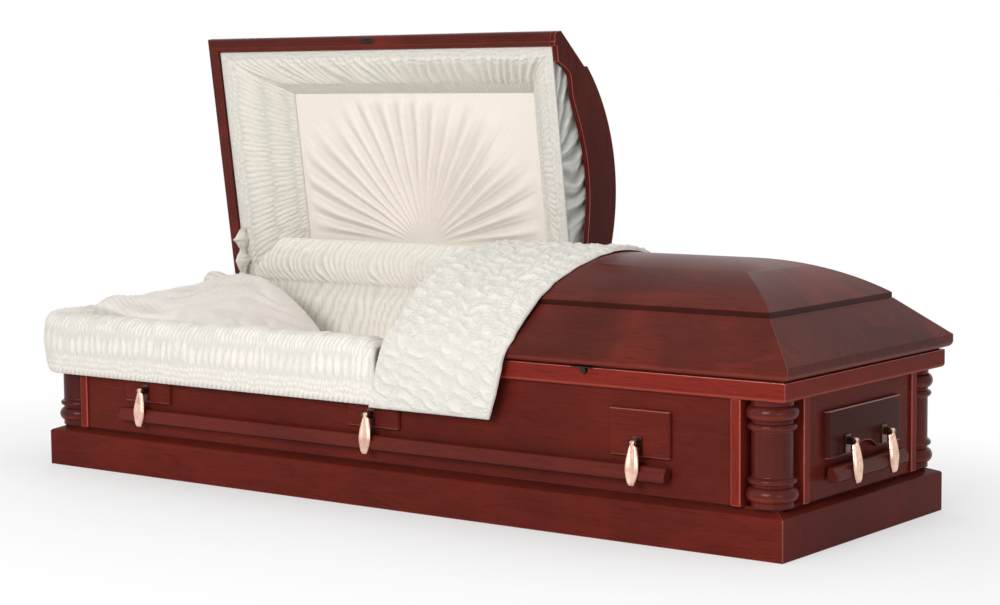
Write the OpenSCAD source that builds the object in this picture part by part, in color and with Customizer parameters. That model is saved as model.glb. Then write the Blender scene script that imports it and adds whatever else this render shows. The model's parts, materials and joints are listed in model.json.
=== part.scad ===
// Half-couch hardwood casket: moulded base, panelled body with turned corner
// columns, swing-bar handles, and a domed lid in two halves hinged at the back.
// X runs from the head end (-) to the foot end (+), the front side faces -Y,
// Z is up. The origin is the centre of the underside of the base.
// All sizes are in millimetres.

/* [Overall] */
// Length of the closed lid from end to end
lid_l = 2134; // [1900:1:2400]
// Width of the closed lid from front to back
lid_w = 712; // [620:1:820]
// Overhang of the lid rim beyond the ledge moulding
rim_over = 13; // [8:1:24]
// Place of the split between the two lids, from the middle of the length
split_x = 79; // [-100:1:160]
// Gap between the two lids at the split
split_gap = 3; // [2:0.5:6]

/* [Base] */
// Height of the upright face of the base moulding
base_face_h = 86; // [60:1:120]
// Rise of the sloping top of the base moulding
base_slope_rise = 10; // [4:1:20]
// Run of the sloping top of the base moulding
base_slope_run = 27; // [16:1:40]
// Radius of the edge between the upright face and the slope
base_edge_r = 6; // [2:0.5:10]
// How far the base stays inside the ledge moulding, lengthwise, on each end
base_inset_x = 4; // [0:1:12]
// Width of the base moulding's timber
base_timber_w = 70; // [50:1:90]
// Width of the cross rail under the middle of the bottom board
base_rail_w = 80; // [40:1:120]
// Thickness of the bottom board
bottom_board_t = 12; // [9:1:18]
// Step of the bottom board above the top of the slope
bottom_board_step = 5; // [2:1:8]

/* [Body] */
// Height of the body panels
panel_h = 215; // [180:1:260]
// Thickness of the body panels
panel_t = 20; // [16:1:24]
// Inset of the side panels from the face of the ledge moulding
side_inset = 15.5; // [10:0.5:24]
// Inset of the end panels from the face of the ledge moulding
end_inset = 20.5; // [12:0.5:28]
// Side of the square notch at each corner
notch = 86; // [70:1:110]
// Width of the upright strips that border a notch
strip_w = 23; // [18:1:30]
// How far the strips stand proud of the panels
strip_proud = 6; // [2:0.5:9]

/* [Columns] */
// Distance of a column's axis from both panel faces
column_inset = 39; // [34:0.5:46]
// Radius of the shaft
shaft_r = 42; // [34:0.5:46]
// Radius of the large rounds at the top and bottom
round_r = 52.5; // [48:0.5:54]
// Half the height of a large round
round_half_h = 17; // [12:0.5:20]
// Radius of the small rings beside the shaft
ring_r = 49.5; // [46:0.5:52]
// Half the height of a small ring
ring_half_h = 6.5; // [4:0.5:9]
// Clearance of a column's flats from the walls of its notch
column_gap = 0.3; // [0.2:0.1:1]

/* [Ledge] */
// Height of the ledge moulding
ledge_h = 39.5; // [30:0.5:50]
// Width of the ledge moulding's board
ledge_board_w = 52; // [44:1:70]
// Radius of the rounded lower edge
ledge_edge_r = 8; // [3:0.5:12]

/* [Lids] */
// Height of the lid rim's face
rim_h = 29; // [22:0.5:40]
// Height of the open joint between the ledge and the rim's outer part
rim_joint = 4.5; // [3:0.5:8]
// Radius of the rim's rounded lower edge
rim_nose_r = 13; // [6:0.5:16]
// Radius of the rim's upper edge
rim_edge_r = 3; // [1:0.5:5]
// Inset of the seating lip under the rim
lip_inset = 22; // [18:1:28]
// Clearance between the seating lip and the ledge
lip_gap = 0.3; // [0.2:0.1:1]
// Width of the rim along the front and back
rim_side_w = 33; // [30:1:44]
// Width of the rim along the end
rim_end_w = 43; // [34:1:56]
// Run of the sloping tier
tier_run = 96; // [80:1:112]
// Rise of the sloping tier
tier_rise = 81; // [64:1:96]
// Height of the upright step between the tier and the crown
step_h = 12; // [6:1:16]
// Rise of the crown above the step
crown_rise = 83; // [60:1:110]
// Thickness of the tier and the crown
lid_wall = 15; // [10:0.5:18]
// Thickness of the header board at the split
header_t = 14; // [10:1:20]
// Height of the header's arched opening above the rim's underside
header_arch_h = 92; // [70:1:98]
// Height of that opening's level shoulders
header_shoulder_h = 53; // [30:1:60]
// Distance from the lid's edge to the foot of a shoulder
header_foot_run = 70; // [60:1:80]
// Width of the curve from the foot up to the shoulder
header_curve_run = 48; // [30:1:60]
// Distance from the lid's edge to the springing of the arch
header_spring_run = 155; // [145:1:180]
// Angle that the head lid stands open
lid_open = 82.2; // [0:0.1:86]

/* [Lid hardware] */
// Radius of a hinge barrel
hinge_r = 3.5; // [3:0.25:4]
// Distance of the hinge axis behind the ledge's face
hinge_back = 4.5; // [4.5:0.25:6]
// Thickness of a hinge leaf
hinge_leaf_t = 1.6; // [1:0.1:2]
// Width of a hinge leaf
hinge_leaf_w = 16; // [12:1:18]
// Margin between a hinge and the ends of its lid
hinge_margin = 70; // [40:5:200]
// Length of the catch's striking plate
catch_l = 54; // [30:1:80]
// Radius of the catch's thumb knob
catch_knob_r = 7; // [4:0.5:8]

/* [Handles] */
// Distance of the outer handle stations from the middle
station_x = 710; // [560:1:760]
// Half the distance between the arms of an end handle
station_end = 78; // [60:1:100]
// Width of a side plaque
plaque_w = 150; // [120:1:200]
// Half the width of an end plaque
end_plaque_half = 158; // [130:1:180]
// Height of a plaque
plaque_h = 98; // [80:1:120]
// Height of a plaque's lower edge above the bottom board
plaque_z = 79; // [60:1:100]
// Thickness of a plaque
plaque_t = 12; // [8:1:16]
// Radius of a plaque's rounded upright edges
plaque_edge_r = 9; // [3:0.5:11]
// Radius of the scallop in an end plaque's lower edge
scallop_r = 86; // [60:1:120]
// Height of that scallop
scallop_h = 19; // [8:1:30]
// Height of a handle's pivot above the bottom board
pivot_z = 110; // [90:1:130]
// Distance of a handle's pivot from the panel face
pivot_out = 30; // [24:1:40]
// Radius of the pivot pin
pin_r = 3; // [2:0.25:4]
// Clearance of a moving arm on its pin and between its lugs
arm_gap = 0.35; // [0.25:0.05:0.6]
// Width of an arm's tongue
tongue_w = 11; // [8:0.5:14]
// Thickness of each lug of an ear
lug_t = 4; // [3:0.5:6]
// Length of an arm from its pivot to its tip
arm_l = 87; // [70:1:100]
// Largest width of an arm
arm_w = 34; // [24:1:44]
// Thickness of an arm's blade
blade_t = 9; // [6:0.5:12]
// Height of the handle bars
bar_h = 32; // [24:1:40]
// Depth of the handle bars
bar_d = 28; // [20:1:32]
// Length of a bar beyond its outer arms
bar_over = 75; // [40:1:100]
// Space between a bar and the panel
bar_gap = 6; // [4:0.5:12]

/* [Soft goods] */
// Height of the mattress top above the bottom board
mattress_h = 174; // [120:1:200]
// Thickness of the wall lining
lining_t = 14; // [8:1:20]
// Height of the wall lining above the bottom board
lining_h = 226; // [200:1:240]
// Space between soft parts and what they lie beside
soft_gap = 3; // [1:0.5:6]
// Space between soft parts and what they lie on
seat_gap = 0.3; // [0.2:0.1:1]
// Length of the pillow from its head side to its foot side
pillow_l = 418; // [300:2:440]
// Width of the pillow across the casket
pillow_w = 424; // [340:2:424]
// Thickness of the pillow at its crest
pillow_h = 165; // [90:5:170]
// Thickness of the fold-out lining where it lies on the ledge
fold_top_t = 28; // [12:1:40]
// Thickness of the fold-out lining where it hangs outside
fold_side_t = 32; // [20:1:40]
// Length that the fold-out lining hangs below the ledge's top
fold_drop = 124; // [80:1:140]
// Width of the throw
throw_w = 312; // [200:1:400]
// Thickness of the throw
throw_t = 16; // [8:1:24]
// Height of the throw's front hem above the floor
throw_hem_z = 230; // [190:1:300]
// Reach of the throw behind the middle of the crown
throw_back = 130; // [60:5:200]
// Width of the lid's puffed border along the front and back
border_side_w = 114; // [90:1:150]
// Width of the border at the head end
border_head_w = 150; // [110:1:200]
// Width of the border at the split
border_split_w = 130; // [90:1:160]
// Thickness of the panel that lines the crown
lid_panel_t = 6; // [3:1:10]
// Width of the roll that covers the hinge
apron_w = 130; // [90:1:150]
// Thickness of the folding stay in its sleeve
stay_t = 22; // [14:1:26]

/* [Hidden] */
$fn = 72;
eps = 0.01;
big = 3000;

// Plan sizes of the ledge, the base and the body
ledge_l = lid_l - 2 * rim_over;
ledge_w = lid_w - 2 * rim_over;
base_l = ledge_l - 2 * base_inset_x;
base_w = ledge_w;
body_x = ledge_l / 2 - end_inset;
body_y = ledge_w / 2 - side_inset;

// Small fixed measures: the header's foot, the overlap of joined outlines and the
// clearance round a hinge barrel
header_foot_h = 6;
step_lap = 6;
hinge_gap = 0.6;

// Levels
base_top = base_face_h + base_slope_rise;
floor_z = base_top + bottom_board_step;
ledge_z = floor_z + panel_h;
ledge_top = ledge_z + ledge_h;
rim_z = ledge_top + rim_joint;
lip_z = ledge_top + lip_gap;
tier_z = rim_z + rim_h;
step_z = tier_z + tier_rise;
crown_z = step_z + step_h;
top_z = crown_z + crown_rise;

// The crown's arc spans the lid between its two long steps
step_in = tier_run + 1.5;
crown_half = lid_w / 2 - step_in;
crown_r = (crown_half * crown_half + crown_rise * crown_rise) / (2 * crown_rise);
crown_c = top_z - crown_r;

// Hinge axis
hinge_y = ledge_w / 2 + hinge_back;
hinge_z = rim_z - 1.5;

// Inner edge of the ledge and of the space for the soft goods
inner_x = ledge_l / 2 - ledge_board_w;
inner_y = ledge_w / 2 - ledge_board_w;
post_x = body_x - notch - strip_w;
post_y = body_y - notch - strip_w;

// Handle places, outward from the panel face and up from the floor
blade_out = bar_gap + bar_d;
bar_z = floor_z + pivot_z - arm_l + 9;
blade_top = pivot_z - 12;
lug_gap = tongue_w + 2 * arm_gap;
ear_w = lug_gap + 2 * lug_t;
lining_top = floor_z + lining_h;
side_stations = [-station_x, 0, station_x];
end_stations = [-station_end, station_end];

head_x0 = -lid_l / 2;
head_x1 = split_x;
foot_x0 = split_x + split_gap;
foot_x1 = lid_l / 2;

// ---------- helpers ----------

// Outline of a rail seen end on: a plan half-width, inset points (inset, z) up
// one side, mirrored to the other side.
module mirrored_outline(half, pts) {
    left = [for (p = pts) [-half + p[0], p[1]]];
    right = [for (i = [len(pts) - 1:-1:0]) [half - pts[i][0], pts[i][1]]];
    polygon(concat(left, right));
}

// Extrudes a YZ outline along X from x0 to x1.
module along_x(x0, x1) {
    translate([x0, 0, 0]) rotate([90, 0, 90]) linear_extrude(x1 - x0) children();
}

// Extrudes an XZ outline along Y across the whole width.
module along_y(half) {
    translate([0, half, 0]) rotate([90, 0, 0]) linear_extrude(2 * half) children();
}

// A quarter round that starts at angle a0, as points about a centre.
function arc(c, r, a0, a1, n = 8) =
    [for (i = [0:n]) let (a = a0 + (a1 - a0) * i / n) [c[0] + r * cos(a), c[1] + r * sin(a)]];

// A block with its four corners mitred, from the same edge profile on all sides.
module mitred(half_x, half_y, pts) {
    intersection() {
        along_x(-half_x, half_x) mirrored_outline(half_y, pts);
        along_y(half_y) mirrored_outline(half_x, pts);
    }
}

module block(x0, x1, y0, y1, z0, z1) {
    translate([x0, y0, z0]) cube([x1 - x0, y1 - y0, z1 - z0]);
}

// ---------- base and body ----------

base_bay_l = (base_l - base_rail_w) / 2 - base_timber_w;
base_slope_a = atan(base_slope_rise / base_slope_run);
base_arc_drop = base_edge_r * tan((90 - base_slope_a) / 2);
base_profile = concat(
    [[0, 0]],
    arc([base_edge_r, base_face_h - base_arc_drop], base_edge_r, 180, 90 + base_slope_a),
    [[base_slope_run, base_top]]
);

// A mitred frame with a cross rail, rebated for the bottom board.
module base_moulding() {
    color("#5a231f") difference() {
        mitred(base_l / 2, base_w / 2, base_profile);
        for (x = [-base_rail_w / 2 - base_bay_l, base_rail_w / 2])
            block(x, x + base_bay_l,
                  -base_w / 2 + base_timber_w, base_w / 2 - base_timber_w, -1, base_top + 1);
        block(-base_l / 2 + base_slope_run, base_l / 2 - base_slope_run,
              -base_w / 2 + base_slope_run, base_w / 2 - base_slope_run,
              floor_z - bottom_board_t, base_top + 1);
    }
}

module bottom_board() {
    color("#4a1c19") block(-base_l / 2 + base_slope_run, base_l / 2 - base_slope_run,
                           -base_w / 2 + base_slope_run, base_w / 2 - base_slope_run,
                           floor_z - bottom_board_t, floor_z);
}

module side_panel() {
    color("#6b2a24") block(-post_x, post_x, -body_y, -body_y + panel_t, floor_z, ledge_z);
}

module end_panel() {
    color("#5e2822") block(body_x - panel_t, body_x, -post_y, post_y, floor_z, ledge_z);
}

// An L-shaped post round the inside of a notch; its ends are the upright strips.
module corner_post() {
    color("#7a2f27") translate([0, 0, floor_z]) linear_extrude(panel_h) union() {
        translate([post_x, -body_y - strip_proud])
            square([strip_w, body_y + strip_proud - post_y]);
        translate([post_x, -post_y - strip_w])
            square([body_x + strip_proud - post_x, strip_w]);
    }
}

// Turned profile from the floor up to mid height; the top half mirrors it.
column_neck_r = shaft_r + 1;
column_round_z = 9 + round_half_h;
column_ring_z = column_round_z + round_half_h + 4 + ring_half_h;

module column_half() {
    rotate_extrude() union() {
        square([column_neck_r, 11]);
        translate([round_r - round_half_h, column_round_z]) circle(r = round_half_h);
        translate([0, column_round_z - round_half_h])
            square([round_r - round_half_h, 2 * round_half_h]);
        square([shaft_r, column_ring_z]);
        translate([ring_r - ring_half_h, column_ring_z]) circle(r = ring_half_h);
        translate([0, column_ring_z - ring_half_h]) square([ring_r - ring_half_h, 2 * ring_half_h]);
        difference() {
            translate([0, column_ring_z + ring_half_h - 1]) square([shaft_r + 4, 5]);
            translate([shaft_r + 4, column_ring_z + ring_half_h + 4]) circle(r = 4);
        }
        square([shaft_r, panel_h / 2]);
    }
}

// A turned column whose back is cut flat to stand in its notch.
module column() {
    cx = body_x - column_inset;
    cy = -body_y + column_inset;
    color("#5c221e") intersection() {
        translate([cx, cy, floor_z]) union() {
            column_half();
            translate([0, 0, panel_h]) mirror([0, 0, 1]) column_half();
        }
        block(body_x - notch + column_gap, big, -big, -body_y + notch - column_gap, 0, big);
    }
}

ledge_profile = concat(
    arc([ledge_edge_r, ledge_z + ledge_edge_r], ledge_edge_r, 270, 180),
    [[0, ledge_top - 1], [1, ledge_top]]
);

module ledge_moulding() {
    color("#712a24") difference() {
        mitred(ledge_l / 2, ledge_w / 2, ledge_profile);
        block(-inner_x, inner_x, -inner_y, inner_y, 0, big);
    }
}

// ---------- lids ----------

// Outer outline of a lid's edge, from the lip under the rim up to the crown.
rim_profile = concat(
    [[lip_inset, lip_z], [lip_inset, rim_z]],
    arc([rim_nose_r, rim_z + rim_nose_r], rim_nose_r, 270, 180),
    arc([rim_edge_r, tier_z - rim_edge_r], rim_edge_r, 180, 131, 4),
    [[tier_run, step_z]]
);

// The arc of the crown, cut to half-width w and started at height z0, d off its face.
module crown_arc(w, z0, d) {
    intersection() {
        translate([0, crown_c]) circle(r = crown_r + d, $fn = 240);
        translate([-w, z0]) square([2 * w, big]);
    }
}

// The crown's body: level from the split, rounded down over the last half width.
module crown_body(x_open, w, z0, d) {
    x_mid = (lid_w - lid_l) / 2;
    union() {
        along_x(x_mid, x_open) crown_arc(w, z0, d);
        intersection() {
            along_x(-lid_l / 2, x_mid) crown_arc(w, z0, d);
            translate([x_mid, 0, 0]) along_y(lid_w / 2) crown_arc(w, z0, d);
        }
    }
}

// Inner outline of a lid's edge whose rim is w wide: upright inside the rim, then
// parallel to the tier.
wall_run = tier_run + lid_wall * 1.1;
wall_drop = lid_wall * 1.31;
function tier_under(s) = tier_z + s * tier_rise / tier_run - wall_drop;
function hollow_edge(w) = [[w, lip_z - 1], [w, tier_under(w)], [wall_run, step_z + eps]];

// An edge profile at the lid's outer end, carried level to the split.
module end_outline(pts, x_open) {
    polygon(concat([for (p = pts) [p[0] - lid_l / 2, p[1]]],
                   [[x_open, pts[len(pts) - 1][1]], [x_open, pts[0][1]]]));
}

// A hollow ring between an outer and an inner edge, open at the split.
module edge_ring(x_open, side_out, end_out, side_in, end_in) {
    difference() {
        intersection() {
            along_x(-lid_l / 2, x_open) mirrored_outline(lid_w / 2, side_out);
            along_y(lid_w / 2) end_outline(end_out, x_open);
        }
        intersection() {
            along_x(-lid_l / 2, x_open + 1) mirrored_outline(lid_w / 2, side_in);
            along_y(lid_w / 2) end_outline(end_in, x_open + 1);
        }
    }
}

// Rim and tier, with a relief under the back edge for the hinge barrel.
module lid_frame(x_open) {
    x0 = -lid_l / 2 + hinge_margin - 1;
    difference() {
        edge_ring(x_open - header_t, rim_profile, rim_profile,
                  hollow_edge(rim_side_w), hollow_edge(rim_end_w));
        translate([x0, hinge_y, hinge_z]) rotate([0, 90, 0])
            cylinder(r = hinge_r + hinge_gap, h = x_open - hinge_margin + 1 - x0);
    }
}

module lid_crown(x_open) {
    difference() {
        crown_body(x_open - header_t, crown_half, step_z, 0);
        crown_body(x_open - header_t + 1, lid_w / 2 - wall_run, step_z - 1, -lid_wall);
    }
}

// Height of the header's opening at a distance s from the lid's edge: a low foot,
// a quarter-wave up to a level shoulder, then an arch.
function header_height(s) =
    s < header_foot_run ? header_foot_h
    : s < header_foot_run + header_curve_run
        ? header_foot_h + (header_shoulder_h - header_foot_h)
            * sin(90 * (s - header_foot_run) / header_curve_run)
    : s < header_spring_run ? header_shoulder_h
    : header_shoulder_h + (header_arch_h - header_shoulder_h) * pow(1 - pow(arch_u(s), 2), 1.3);
function arch_u(s) = min(1, (lid_w / 2 - s) / (lid_w / 2 - header_spring_run));

header_steps = concat(
    [rim_side_w],
    [for (i = [0:8]) header_foot_run + header_curve_run * i / 8],
    [for (i = [0:16]) header_spring_run + (lid_w / 2 - header_spring_run) * i / 16]
);

module lid_header(x_open) {
    difference() {
        union() {
            along_x(x_open - header_t, x_open) mirrored_outline(lid_w / 2, rim_profile);
            along_x(x_open - header_t, x_open) crown_arc(crown_half, step_z - step_lap, 0);
        }
        along_x(x_open - header_t - 1, x_open + 1) mirrored_outline(lid_w / 2, concat(
            [[rim_side_w, lip_z - 1]],
            [for (s = header_steps) [s, rim_z + header_height(s)]]
        ));
    }
}

// Turns what is drawn closed into the head lid's open position.
module opened() {
    translate([0, hinge_y, hinge_z]) rotate([-lid_open, 0, 0])
        translate([0, -hinge_y, -hinge_z]) children();
}

module head_lid_frame() { color("#61271f") opened() lid_frame(head_x1); }
module head_lid_crown() { color("#4e2621") opened() lid_crown(head_x1); }
module head_lid_header() { color("#3e221d") opened() lid_header(head_x1); }
module foot_lid_frame() { color("#5a241f") mirror([1, 0, 0]) lid_frame(-foot_x0); }
module foot_lid_crown() { color("#5a2d28") mirror([1, 0, 0]) lid_crown(-foot_x0); }
module foot_lid_header() { color("#4a221d") mirror([1, 0, 0]) lid_header(-foot_x0); }

// ---------- lid hardware ----------

// A long hinge: its barrel lies behind the ledge, its leaf on the ledge's back.
module hinge(x0, x1) {
    color("#7d6a4c") union() {
        translate([x0, hinge_y, hinge_z]) rotate([0, 90, 0]) cylinder(r = hinge_r, h = x1 - x0);
        block(x0, x1, ledge_w / 2, ledge_w / 2 + hinge_leaf_t, hinge_z - hinge_leaf_w, hinge_z);
        block(x0, x1, ledge_w / 2, hinge_y, hinge_z - hinge_r, hinge_z - hinge_r + hinge_leaf_t);
    }
}

module lid_catch() {
    x = (foot_x0 + foot_x1) / 2;
    plate_y = -ledge_w / 2 - 7;
    color("#2a2220") union() {
        block(x - catch_l / 2, x + catch_l / 2, plate_y, -ledge_w / 2 + 8, ledge_top, ledge_top + 2);
        translate([x + 6, -ledge_w / 2, ledge_top - catch_knob_r + 1]) rotate([90, 0, 0])
            cylinder(r = catch_knob_r, h = 7);
    }
}

// A folding stay in its sleeve, fixed to the head lid beside the hinge.
module lid_support() {
    x0 = -inner_x + soft_gap;
    z1 = border_z(x0 - head_x0, rim_end_w, border_head_w);
    color("#d9d4ca") opened()
        block(x0, x0 + stay_t, hinge_y - 190, hinge_y - 62, lining_top + 4, z1 - seat_gap);
}

// ---------- handles ----------
// Each is drawn on a panel face at y = 0 that looks towards -Y, with z from the floor.

module on_front() { translate([0, -body_y, floor_z]) children(); }
module on_back() { mirror([0, 1, 0]) on_front() children(); }
module on_foot() { translate([body_x, 0, floor_z]) rotate([0, 0, 90]) children(); }
module on_head() { mirror([1, 0, 0]) on_foot() children(); }

module plaque_plan(half) {
    r = plaque_edge_r;
    translate([-half, -plaque_t + r]) square([2 * half, plaque_t - r]);
    translate([-half + r, -plaque_t]) square([2 * (half - r), plaque_t]);
    for (s = [-1, 1]) translate([s * (half - r), -plaque_t + r]) circle(r = r);
}

module plaque(x, half) {
    color("#6a2a24") translate([x, 0, plaque_z]) linear_extrude(plaque_h) difference() {
        plaque_plan(half);
        translate([-half - 1, 0]) square([2 * half + 2, plaque_edge_r + 1]);
    }
}

module end_plaque() {
    color("#4d241f") difference() {
        plaque(0, end_plaque_half);
        translate([0, 1, plaque_z + scallop_h - scallop_r]) rotate([90, 0, 0])
            cylinder(r = scallop_r, h = plaque_t + 2, $fn = 120);
    }
}

// A back plate with two lugs that carry the pivot pin.
module ear(x) {
    lug_x = lug_gap / 2;
    translate([x, 0, 0]) union() {
        translate([-ear_w / 2 - 1, -plaque_t - 3, pivot_z - 26]) cube([ear_w + 2, 3, 38]);
        for (s = [-1, 1]) translate([s * (lug_x + lug_t / 2) - lug_t / 2, 0, 0]) {
            translate([0, -pivot_out, pivot_z - 8]) cube([lug_t, pivot_out - plaque_t, 14]);
            translate([0, -pivot_out, pivot_z - 1]) rotate([0, 90, 0]) cylinder(r = 7, h = lug_t);
        }
        translate([-ear_w / 2 - 0.8, -pivot_out, pivot_z]) rotate([0, 90, 0])
            cylinder(r = pin_r, h = ear_w + 1.6);
    }
}

module ears(stations) {
    color("#9a6a55") for (x = stations) ear(x);
}

// Half the width of an arm's blade at a distance t below its top, t from 0 to 1:
// narrow at the top, widest past the middle, drawn in again at the tip.
function blade_half(t) =
    t < 0.58 ? 5.5 + (arm_w / 2 - 5.5) * sin(90 * t / 0.58)
    : arm_w / 2 - (arm_w / 2 - 7) * pow((t - 0.58) / 0.42, 1.6);

blade_len = blade_top - (pivot_z - arm_l);
blade_steps = [for (i = [0:14]) i / 14];

// The blade's outline drawn in by inset all round, from its top at 0 downwards.
function blade_edge(side, t, inset) =
    [side * (blade_half(t) - inset), -t * (blade_len - 2 * inset) - inset];

module blade_outline(inset) {
    polygon(concat(
        [for (t = blade_steps) blade_edge(-1, t, inset)],
        [for (i = [14:-1:0]) blade_edge(1, blade_steps[i], inset)]
    ));
}

// A tongue with a bored eye, and a bevelled blade in front of the bar.
module arm(x) {
    color("#b98570") translate([x, 0, 0]) difference() {
        union() {
            translate([0, -blade_out - blade_t + 3, blade_top]) rotate([90, 0, 0])
                mirror([0, 0, 1]) linear_extrude(blade_t - 3) blade_outline(0);
            hull() {
                translate([0, -blade_out - blade_t + 3.01, blade_top]) rotate([90, 0, 0])
                    linear_extrude(0.01) blade_outline(0);
                translate([0, -blade_out - blade_t + 0.01, blade_top]) rotate([90, 0, 0])
                    linear_extrude(0.01) blade_outline(3);
            }
            translate([-tongue_w / 2, -pivot_out, pivot_z]) rotate([0, 90, 0])
                cylinder(r = 6.5, h = tongue_w);
            translate([-tongue_w / 2, 0, 0]) rotate([90, 0, 90]) linear_extrude(tongue_w)
                polygon([
                    [-pivot_out - 6.5, pivot_z], [-pivot_out + 6.5, pivot_z],
                    [-blade_out + 0.5, blade_top - 16], [-blade_out - blade_t + 3, blade_top - 16],
                    [-blade_out - blade_t + 3, blade_top]
                ]);
        }
        translate([-tongue_w, -pivot_out, pivot_z]) rotate([0, 90, 0])
            cylinder(r = pin_r + arm_gap, h = 2 * tongue_w);
    }
}

// A bar with chamfered edges, the upper front one large.
module bar(half) {
    z0 = bar_z - floor_z;
    z1 = z0 + bar_h;
    y0 = -bar_gap;
    y1 = -bar_gap - bar_d;
    color("#6a2a24") translate([-half, 0, 0]) rotate([90, 0, 90]) linear_extrude(2 * half)
        polygon([
            [y0, z0 + 5], [y0 - 5, z0], [y1 + 5, z0], [y1, z0 + 5],
            [y1, z0 + bar_h * 0.55], [y1 + 10, z1], [y0 - 5, z1], [y0, z1 - 5]
        ]);
}

// ---------- soft goods ----------

// Plan of the space inside the body: a rectangle with the corner posts cut out.
module inner_plan(inset) {
    difference() {
        square([2 * (inner_x - inset), 2 * (inner_y - inset)], center = true);
        for (sx = [-1, 1]) for (sy = [-1, 1])
            translate([sx * (post_x - inset + big / 2), sy * (post_y - inset + big / 2)])
                square(big, center = true);
    }
}

module body_lining() {
    color("#dcd8cf") translate([0, 0, floor_z + seat_gap])
        linear_extrude(lining_h - seat_gap) difference() {
            inner_plan(soft_gap);
            inner_plan(soft_gap + lining_t);
        }
}

mattress_x = post_x - 2 * soft_gap - lining_t;
mattress_y = inner_y - 2 * soft_gap - lining_t;

module mattress() {
    color("#ded9cf") block(-mattress_x, mattress_x, -mattress_y, mattress_y,
                           floor_z + seat_gap, floor_z + mattress_h);
}

// A wedge with a crest near its head side, lower at both ends. The head side
// reaches over the posts and the lining.
module pillow() {
    x0 = -inner_x + stay_t + 4 * soft_gap;
    x1 = -mattress_x + soft_gap;
    y0 = -inner_y + lining_t + 2 * soft_gap;
    y1 = y0 + pillow_w;
    z0 = floor_z + mattress_h + seat_gap;
    z1 = z0 + pillow_h;
    z_over = lining_top + soft_gap;
    color("#e6dfd6") intersection() {
        along_y(inner_y) polygon([
            [x1, z0], [x0 + pillow_l - 15, z0], [x0 + pillow_l, z0 + 12],
            [x0 + pillow_l * 0.9, z0 + pillow_h * 0.4], [x0 + pillow_l * 0.7, z0 + pillow_h * 0.77],
            [x0 + pillow_l * 0.45, z0 + pillow_h * 0.97], [x0 + pillow_l * 0.28, z1],
            [x0 + pillow_l * 0.12, z0 + pillow_h * 0.83], [x0, z0 + pillow_h * 0.62],
            [x0, z_over], [x1, z_over]
        ]);
        along_x(x0, x0 + pillow_l) polygon([
            [y0, z0], [y0, z0 + pillow_h * 0.63], [y0 + pillow_w * 0.14, z1],
            [y1 - pillow_w * 0.2, z1], [y1, z0 + pillow_h * 0.7], [y1, z0]
        ]);
    }
}

// The part of the lining that is folded out over the ledge at the front and the head.
module fold_out_lining() {
    z0 = ledge_top - fold_drop;
    z1 = ledge_top + fold_top_t;
    gap = 1;
    x_in = -inner_x + 8;
    y_in = -inner_y + 8;
    x_out = -ledge_l / 2;
    y_out = -ledge_w / 2;
    x_end = foot_x0 - 26;
    color("#dad7ce") difference() {
        block(x_out - fold_side_t, x_end, y_out - fold_side_t, ledge_w / 2 - 60, z0, z1);
        block(x_in, big, y_in, big, 0, big);
        block(x_out - gap, big, y_out - gap, big, 0, ledge_top + seat_gap);
        block(x_out - fold_side_t - 1, x_in + 1, ledge_w / 2 - 100, big, 0, ledge_top + seat_gap);
    }
}

// The lid's side outline grown by d, straight down below the rim.
module throw_body(d, x0, x1) {
    union() {
        along_x(x0, x1) mirrored_outline(lid_w / 2 + d, [
            [0, -1], [0, tier_z + d * 0.5], [tier_run + d * 0.2, step_z + d * 1.25]
        ]);
        along_x(x0, x1) crown_arc(crown_half + 0.6 * d, step_z, d);
    }
}

// A padded throw laid over the foot lid, with its front end hanging down.
module throw() {
    x0 = foot_x0 + 1;
    off = 1.5;
    color("#dfdbd1") difference() {
        throw_body(throw_t + off, x0, x0 + throw_w);
        throw_body(off, x0 - 1, x0 + throw_w + 1);
        block(-big, big, throw_back, big, -1, big);
        block(-big, big, -big, big, -big, throw_hem_z);
    }
}

// Height of the border's puffed face at a distance s from the lid's edge, where the
// rim is w wide and the border is b wide: a slope that sags a little.
border_h0 = soft_gap;
border_h1 = step_z - rim_z - lid_panel_t - 2 * seat_gap;
function border_u(s, w, b) = (s - w - soft_gap) / b;
function border_z(s, w, b) = rim_z + border_h0
    + (border_h1 - border_h0) * (border_u(s, w, b) - 0.1 * sin(180 * border_u(s, w, b)));

// Points of that face from a share u0 of its width to a share u1.
function border_face(w, b, u0, u1) =
    [for (i = [0:8]) let (s = w + soft_gap + b * (u0 + (u1 - u0) * i / 8)) [s, border_z(s, w, b)]];

// The border's outside, a clearance inside the rim and the tier.
function border_back(w) = [
    [w + soft_gap, rim_z + border_h0], [w + soft_gap, tier_under(w)],
    [wall_run - soft_gap, rim_z + border_h1]
];
border_foot = 0.08;

module lid_border() {
    split = head_x1 - header_t - soft_gap;
    side = concat([[rim_side_w + soft_gap + border_foot * border_side_w, rim_z]],
                  border_face(rim_side_w, border_side_w, border_foot, 1.02));
    head = concat([[rim_end_w + soft_gap + border_foot * border_head_w, rim_z]],
                  border_face(rim_end_w, border_head_w, border_foot, 1.02));
    rest = border_face(-soft_gap, border_split_w, border_foot, 1.02);
    color("#dedad1") opened() difference() {
        intersection() {
            along_x(head_x0, split) mirrored_outline(lid_w / 2, border_back(rim_side_w));
            along_y(lid_w / 2) end_outline(border_back(rim_end_w), split);
        }
        intersection() {
            along_x(head_x0, split) mirrored_outline(lid_w / 2, side);
            along_y(lid_w / 2) polygon(concat(
                [for (p = head) [head_x0 + p[0], p[1]]],
                [for (i = [len(rest) - 1:-1:0]) [split - rest[i][0], rest[i][1]]],
                [[split - rest[0][0], rim_z]]
            ));
        }
    }
}

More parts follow.
